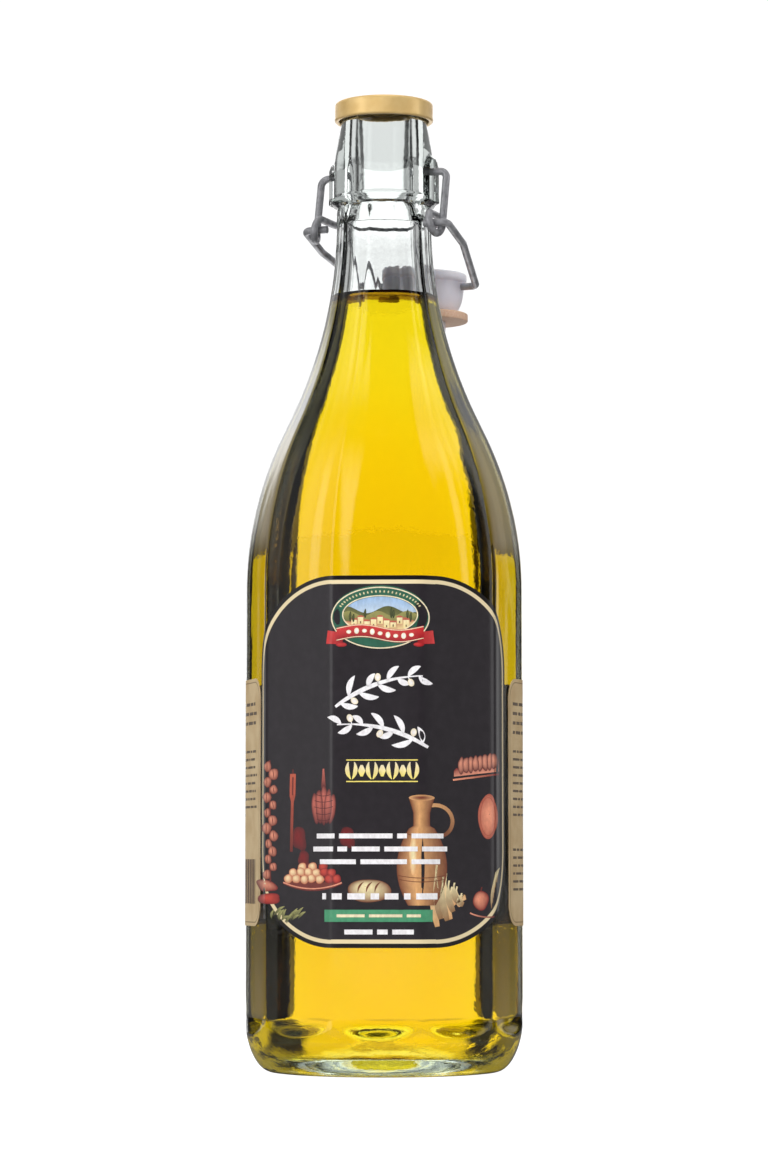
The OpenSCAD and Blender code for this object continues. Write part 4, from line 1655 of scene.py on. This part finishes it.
class SweptWire:
    """A round wire that follows a path of points, made by Geometry Nodes."""

    def __init__(self) -> None:
        """Builds the node group once."""
        self.tree = bpy.data.node_groups.new("swept_wire", "GeometryNodeTree")
        face = self.tree.interface
        face.new_socket("Path", in_out="INPUT", socket_type="NodeSocketGeometry")
        self.radius = face.new_socket("Wire radius", in_out="INPUT", socket_type="NodeSocketFloat")
        self.sides = face.new_socket("Points round", in_out="INPUT", socket_type="NodeSocketInt")
        self.coat = face.new_socket("Finish", in_out="INPUT", socket_type="NodeSocketMaterial")
        face.new_socket("Wire", in_out="OUTPUT", socket_type="NodeSocketGeometry")
        nodes, links = self.tree.nodes, self.tree.links
        given = nodes.new("NodeGroupInput")
        curve = nodes.new("GeometryNodeMeshToCurve")
        along = nodes.new("GeometryNodeSplineParameter")
        length = nodes.new("GeometryNodeCaptureAttribute")
        length.capture_items.new("FLOAT", "along")
        profile = nodes.new("GeometryNodeCurvePrimitiveCircle")
        around = nodes.new("GeometryNodeSplineParameter")
        turn = nodes.new("GeometryNodeCaptureAttribute")
        turn.capture_items.new("FLOAT", "around")
        sweep = nodes.new("GeometryNodeCurveToMesh")
        both = nodes.new("ShaderNodeCombineXYZ")
        store = nodes.new("GeometryNodeStoreNamedAttribute")
        store.data_type = "FLOAT2"
        store.domain = "CORNER"
        store.inputs["Name"].default_value = "sheet"
        smooth = nodes.new("GeometryNodeSetShadeSmooth")
        real = nodes.new("GeometryNodeRealizeInstances")
        coat = nodes.new("GeometryNodeSetMaterial")
        out = nodes.new("NodeGroupOutput")
        sweep.inputs["Fill Caps"].default_value = True
        links.new(given.outputs["Path"], curve.inputs["Mesh"])
        links.new(curve.outputs[0], length.inputs["Geometry"])
        links.new(along.outputs["Length"], length.inputs[1])
        links.new(given.outputs["Wire radius"], profile.inputs["Radius"])
        links.new(given.outputs["Points round"], profile.inputs["Resolution"])
        links.new(profile.outputs[0], turn.inputs["Geometry"])
        links.new(around.outputs["Factor"], turn.inputs[1])
        links.new(length.outputs["Geometry"], sweep.inputs["Curve"])
        links.new(turn.outputs["Geometry"], sweep.inputs["Profile Curve"])
        links.new(turn.outputs[1], both.inputs["X"])
        links.new(length.outputs[1], both.inputs["Y"])
        links.new(sweep.outputs[0], smooth.inputs["Geometry"])
        links.new(smooth.outputs[0], store.inputs["Geometry"])
        links.new(both.outputs[0], store.inputs["Value"])
        links.new(store.outputs[0], real.inputs[0])
        links.new(real.outputs[0], coat.inputs["Geometry"])
        links.new(given.outputs["Finish"], coat.inputs["Material"])
        links.new(coat.outputs[0], out.inputs[0])

    def sweep(self, name: str, path: Sequence[Vector], radius: float, finish: Finish,
              sides: int = 28) -> bpy.types.Object:
        """Sweeps one wire.

        Args:
            name: The piece's name.
            path: Points along its middle, in millimetres.
            radius: The wire's radius, in millimetres.
            finish: Its finish.
            sides: Points round the wire.

        Returns:
            The wire as a plain mesh.
        """
        mesh = bpy.data.meshes.new(name)
        edges = [(i, i + 1) for i in range(len(path) - 1)]
        mesh.from_pydata([tuple(p * MM) for p in path], edges, [])
        piece = bpy.data.objects.new(name, mesh)
        bpy.context.scene.collection.objects.link(piece)
        modifier = piece.modifiers.new("sweep", "NODES")
        modifier.node_group = self.tree
        modifier[self.radius.identifier] = radius * MM
        modifier[self.sides.identifier] = sides
        modifier[self.coat.identifier] = finish.material()
        piece = applied(piece)
        piece.data.set_sharp_from_angle(angle=math.radians(60))
        return piece


def bend(before: Vector, corner: Vector, after: Vector, radius: float, steps: int) -> list[Vector]:
    """Points of an arc that rounds the corner between two straights."""
    go, leave = (corner - before).normalized(), (after - corner).normalized()
    turn = go.angle(leave)
    start = corner - go * radius * math.tan(turn / 2)
    side = (leave - go.dot(leave) * go).normalized()
    return [start + radius * math.sin(turn * i / steps) * go
            + radius * (1 - math.cos(turn * i / steps)) * side for i in range(steps + 1)]


def route(points: Sequence[Vector], radius: float, steps: int = 12) -> list[Vector]:
    """Corner points joined by straights, with every inner corner rounded."""
    result = [points[0]]
    for before, corner, after in zip(points, points[1:], points[2:]):
        result += bend(before, corner, after, radius, steps)
    return result + [points[-1]]


@dataclass
class Closure:
    """The wire swing-top: lever, bail, plastic stopper and rubber washer."""

    body: GlassBody
    wire_r: float = 1.2
    arm_u: float = 21.6
    eye_drop: float = 18.0
    eye_front: float = 7.8
    eye_play: float = 1.0
    coil_play: float = 0.6
    handle_back: float = 19.2
    bail_back: float = 45.3
    bail_fall: float = 13.6
    bail_spread: float = 24.4
    bail_end: float = 18.4
    bail_straight: float = 0.34
    head_r: float = 14.2
    head_up: float = 4.6
    head_drop: float = 8.6
    head_foot_r: float = 9.4
    washer_r: float = 14.58
    washer_h: float = 2.6
    plug_r: float = 7.2
    plug_h: float = 4.0

    @property
    def eye_z(self) -> float:
        """Height of the eyes."""
        return self.body.collar_z + self.body.pivot_up - self.eye_drop

    @property
    def eye_r(self) -> float:
        """Radius of an eye, to the middle of its wire."""
        return 2 * self.wire_r + self.eye_play

    @property
    def coil_end(self) -> float:
        """Distance of the eye's inner turn from the neck's axis."""
        return self.arm_u - 2 * self.wire_r - self.coil_play

    def mirrored(self, half: Sequence[Vector]) -> list[Vector]:
        """A whole path from its +u half, in the bottle's frame."""
        other = [Vector((-p.x, p.y, p.z)) for p in reversed(half)]
        return [CLOSURE.point(*p) for p in list(half) + other[1:]]

    def lever_path(self) -> list[Vector]:
        """Out of the boss, down the arm, round the eye and on behind the neck."""
        pivot = self.body.collar_z + self.body.pivot_up
        coil = []
        for i in range(61):
            t = i / 60
            q = math.radians(-10 - 260 * t)
            coil.append(Vector((self.arm_u + (self.coil_end - self.arm_u) * t,
                                -self.eye_front + self.eye_r * math.cos(q),
                                self.eye_z + self.eye_r * math.sin(q))))
        arm = route([Vector((self.body.bore_r + 3.4, 0, pivot)), Vector((self.arm_u, 0, pivot)),
                     coil[0]], 2.4)
        handle = []
        for i in range(49):
            q = math.radians(90 * i / 48)
            handle.append(Vector((self.coil_end * math.cos(q),
                                  self.handle_back - self.coil_end * (1 - math.sin(q)),
                                  self.eye_z + self.eye_r)))
        return self.mirrored(arm + coil[1:] + handle)

    def bail_path(self) -> list[Vector]:
        """From inside the eye, out and back along the leg, and across through the stopper."""
        share, v = self.bail_straight, -self.eye_front
        end_z = self.eye_z - self.bail_fall
        half = route([
            Vector((self.coil_end - self.wire_r - 0.8, v, self.eye_z)),
            Vector((self.bail_spread, v, self.eye_z)),
            Vector((self.bail_spread, v + self.bail_back * share,
                    self.eye_z - self.bail_fall * share)),
            Vector((self.bail_end, v + self.bail_back, end_z)),
            Vector((0, v + self.bail_back, end_z))], 2.0)
        return self.mirrored(half)

    def stopper_centre(self) -> Vector:
        """The middle of the bail's wire inside the stopper."""
        return CLOSURE.point(0, self.bail_back - self.eye_front, self.eye_z - self.bail_fall)

    def stopper(self) -> bpy.types.Object:
        """The milky head and plug, with the hole that the bail turns in."""
        waist, drop = self.plug_r - 1.2, self.head_drop
        low = -drop - self.washer_h - self.plug_h
        foot = [(0, low), (self.plug_r - 1, low), (self.plug_r, low + 1),
                (self.plug_r, -drop - self.washer_h), (waist, -drop - self.washer_h),
                (waist, -drop), (self.head_foot_r - 0.4, -drop), (self.head_foot_r, -drop + 0.4)]
        bowl = []
        for i in range(1, 21):
            q = math.pi / 2 * i / 20
            bowl.append((self.head_foot_r + (self.head_r - 0.9 - self.head_foot_r) * math.sin(q),
                         1.4 - (drop + 1.4) * math.cos(q)))
        top = self.head_up
        head = [bowl[-1], (self.head_r - 0.1, 2.0), (self.head_r, 2.6), (self.head_r, top),
                (self.head_r - 1.6, top), (self.head_r - 2.6, top - 0.7), (0, top - 0.7)]
        outline = rounded(foot, 0.5) + bowl[:-1] + rounded(head, 0.8)
        piece = turned("stopper_head", outline, self.stopper_centre(), 128)
        v, z = self.bail_back - self.eye_front, self.eye_z - self.bail_fall
        reach = self.head_r + 2
        piece = cut(piece, [CLOSURE.rod("wire_hole", self.wire_r + 0.12, -reach, reach, v, z)])
        return finished(piece, MilkyPlastic())

    def washer(self) -> bpy.types.Object:
        """The soft ring under the stopper's head."""
        hole, low = self.plug_r - 1.2, -self.head_drop - self.washer_h
        top = low + self.washer_h
        section = [(hole, low), (self.washer_r, low), (self.washer_r, top), (hole, top)]
        loop = rounded([(hole, (low + top) / 2)] + section + [(hole, (low + top) / 2)], 0.5)
        return finished(turned("stopper_washer", loop[:-1], self.stopper_centre(), 128),
                        SoftRubber())

    def dress(self) -> None:
        """Builds the closure and puts each piece on its body."""
        sweeper = SweptWire()
        steel = DrawnSteel()
        placed(sweeper.sweep("lever_wire", self.lever_path(), self.wire_r, steel), "lever",
               "wire", "lever")
        placed(sweeper.sweep("bail_wire", self.bail_path(), self.wire_r, steel), "bail", "wire",
               "bail")
        placed(self.stopper(), "stopper", "stopper_plastic", "stopper")
        placed(self.washer(), "stopper", "gasket_rubber", "gasket")


# ---------------------------------------------------------------------------- studio


@dataclass
class Studio:
    """Floor, backdrop, soft lights and camera."""

    camera_distance: float = 1.167
    camera_side: float = 2.7
    camera_height: float = 0.066
    pitch: float = 4.5
    lens: float = 114.3
    room: float = 0.022
    lobes: tuple = (WALL, Lobe(-122, -112, -96, -80, 0.42), Lobe(-138, -132, -122, -116, 1.35),
                    Lobe(82, 88, 98, 104, 1.1))
    raised: Lobe = Lobe(-75, -55, 55, 75, 0.5)
    low_sides: tuple = (Lobe(-70, -60, -46, -38, 0.8), Lobe(36, 42, 54, 64, 0.8))
    ceiling: float = 0.7
    backdrop: float = 1.05
    floor_r: float = 4000.0
    aim_height: float = 0.16

    def floor(self) -> None:
        """A round white floor."""
        angles = np.linspace(0, 2 * math.pi, 96, endpoint=False)
        ring = np.stack([self.floor_r * np.cos(angles), self.floor_r * np.sin(angles),
                         np.zeros(len(angles))], axis=1)
        piece = mesh_piece("floor", ring, [tuple(range(len(angles)))])
        finished(piece, StudioWhite())

    def surroundings(self) -> None:
        """A lit wall behind the bottle, dimmer patches round its sides, and light from above.

        The camera sees plain white in its place.
        """
        world = bpy.data.worlds.new("studio")
        world.use_nodes = True
        bpy.context.scene.world = world
        recipe = Recipe(world.node_tree)
        direction = recipe.add("ShaderNodeTexCoord", output="Generated")
        x, y, z = recipe.split(direction)
        bearing = recipe.add("ShaderNodeMath", {"operation": "ARCTAN2"}, {0: x, 1: y})
        low = z.rise(0.14, 0.08)
        amount = self.raised.amount(bearing) * z.rise(0.11, 0.17)
        for lobe in self.low_sides:
            amount = amount + lobe.amount(bearing) * low
        for lobe in self.lobes:
            amount = amount + lobe.amount(bearing)
        amount = amount * z.rise(0.85, 0.6) + z.rise(0.88, 0.97) * self.ceiling + self.room
        seen = recipe.add("ShaderNodeLightPath", output="Is Camera Ray")
        amount = amount * (1 - seen) + seen * self.backdrop
        light = recipe.add("ShaderNodeBackground", inputs={"Color": (1, 1, 1, 1),
                                                           "Strength": amount})
        out = world.node_tree.nodes.new("ShaderNodeOutputWorld")
        world.node_tree.links.new(light.socket, out.inputs["Surface"])

    def softbox(self, name: str, place: tuple[float, float, float], size: tuple[float, float],
                power: float) -> None:
        """One large soft light that faces the bottle, and that shiny surfaces don't show.

        Args:
            name: Its name.
            place: Where it stands, in metres.
            size: Its width and height, in metres.
            power: Its power in watts.
        """
        lamp = bpy.data.lights.new(name, "AREA")
        lamp.shape = "RECTANGLE"
        lamp.size, lamp.size_y = size
        lamp.energy = power
        holder = bpy.data.objects.new(name, lamp)
        holder.location = place
        aim = Vector((0, 0, self.aim_height)) - Vector(place)
        holder.rotation_euler = aim.to_track_quat("-Z", "Y").to_euler()
        holder.visible_glossy = False
        holder.visible_transmission = False
        bpy.context.scene.collection.objects.link(holder)

    def camera(self) -> None:
        """A long lens a little over the floor, tilted slightly up."""
        data = bpy.data.cameras.new("camera")
        data.lens = self.lens
        data.clip_end = 20
        side = math.radians(self.camera_side)
        holder = bpy.data.objects.new("camera", data)
        holder.location = (self.camera_distance * math.sin(side),
                           -self.camera_distance * math.cos(side), self.camera_height)
        holder.rotation_euler = (math.radians(90 + self.pitch), 0, side)
        bpy.context.scene.collection.objects.link(holder)
        bpy.context.scene.camera = holder

    def build(self) -> None:
        """Sets the whole studio up."""
        self.floor()
        self.surroundings()
        self.softbox("front_fill", (-0.5, -1.6, 0.7), (1.6, 1.2), 33)
        self.softbox("side_fill", (1.5, -0.7, 0.4), (0.8, 1.0), 9)
        self.softbox("top_fill", (0.0, -0.3, 1.8), (1.4, 1.4), 12)
        self.camera()
        bpy.context.scene.view_settings.view_transform = "Standard"


# ---------------------------------------------------------------------------- whole


def labels(body: GlassBody) -> list[tuple[Label, Artwork, bool]]:
    """The two labels, with their print.

    Args:
        body: The glass that they lie on.

    Returns:
        Each label, its artwork, and whether the artwork is as seen from the front.
    """
    reach, shift, gap_left, gap_right = 6.3, 2.1, 1.8, 4.0
    half = 1.5 * body.panel_w + reach
    low, high = bottom_of("front_label"), top_of("front_label")
    corner = (31.0, 29.0)
    front = Label(body, "front_label", shift, half, low, high - low, corner,
                  DarkPaper(half, high - low, corner), "front_paper")
    around = body.sides * body.panel_w
    start = shift + half + gap_right
    end = around + shift - half - gap_left
    back_half, back_corner = (end - start) / 2, 7.0
    low, high = bottom_of("back_label"), top_of("back_label")
    back = Label(body, "back_label", (start + end) / 2, back_half, low, high - low,
                 (back_corner, back_corner), CreamPaper(back_half, high - low, back_corner),
                 "back_paper")
    return [(front, FrontPrint().build(), True),
            (back, BackPrint(back_half, high - low).build(), False)]


def main() -> None:
    """Builds every sub-assembly in order, then the studio."""
    logging.basicConfig(level=logging.INFO, format="%(message)s")
    body = GlassBody()
    body.dress()
    Oil(body).dress()
    Cap().dress()
    for label, art, unroll in labels(body):
        label.dress(art, unroll)
    Closure(body).dress()
    Studio().build()


if __name__ == "__main__":
    main()
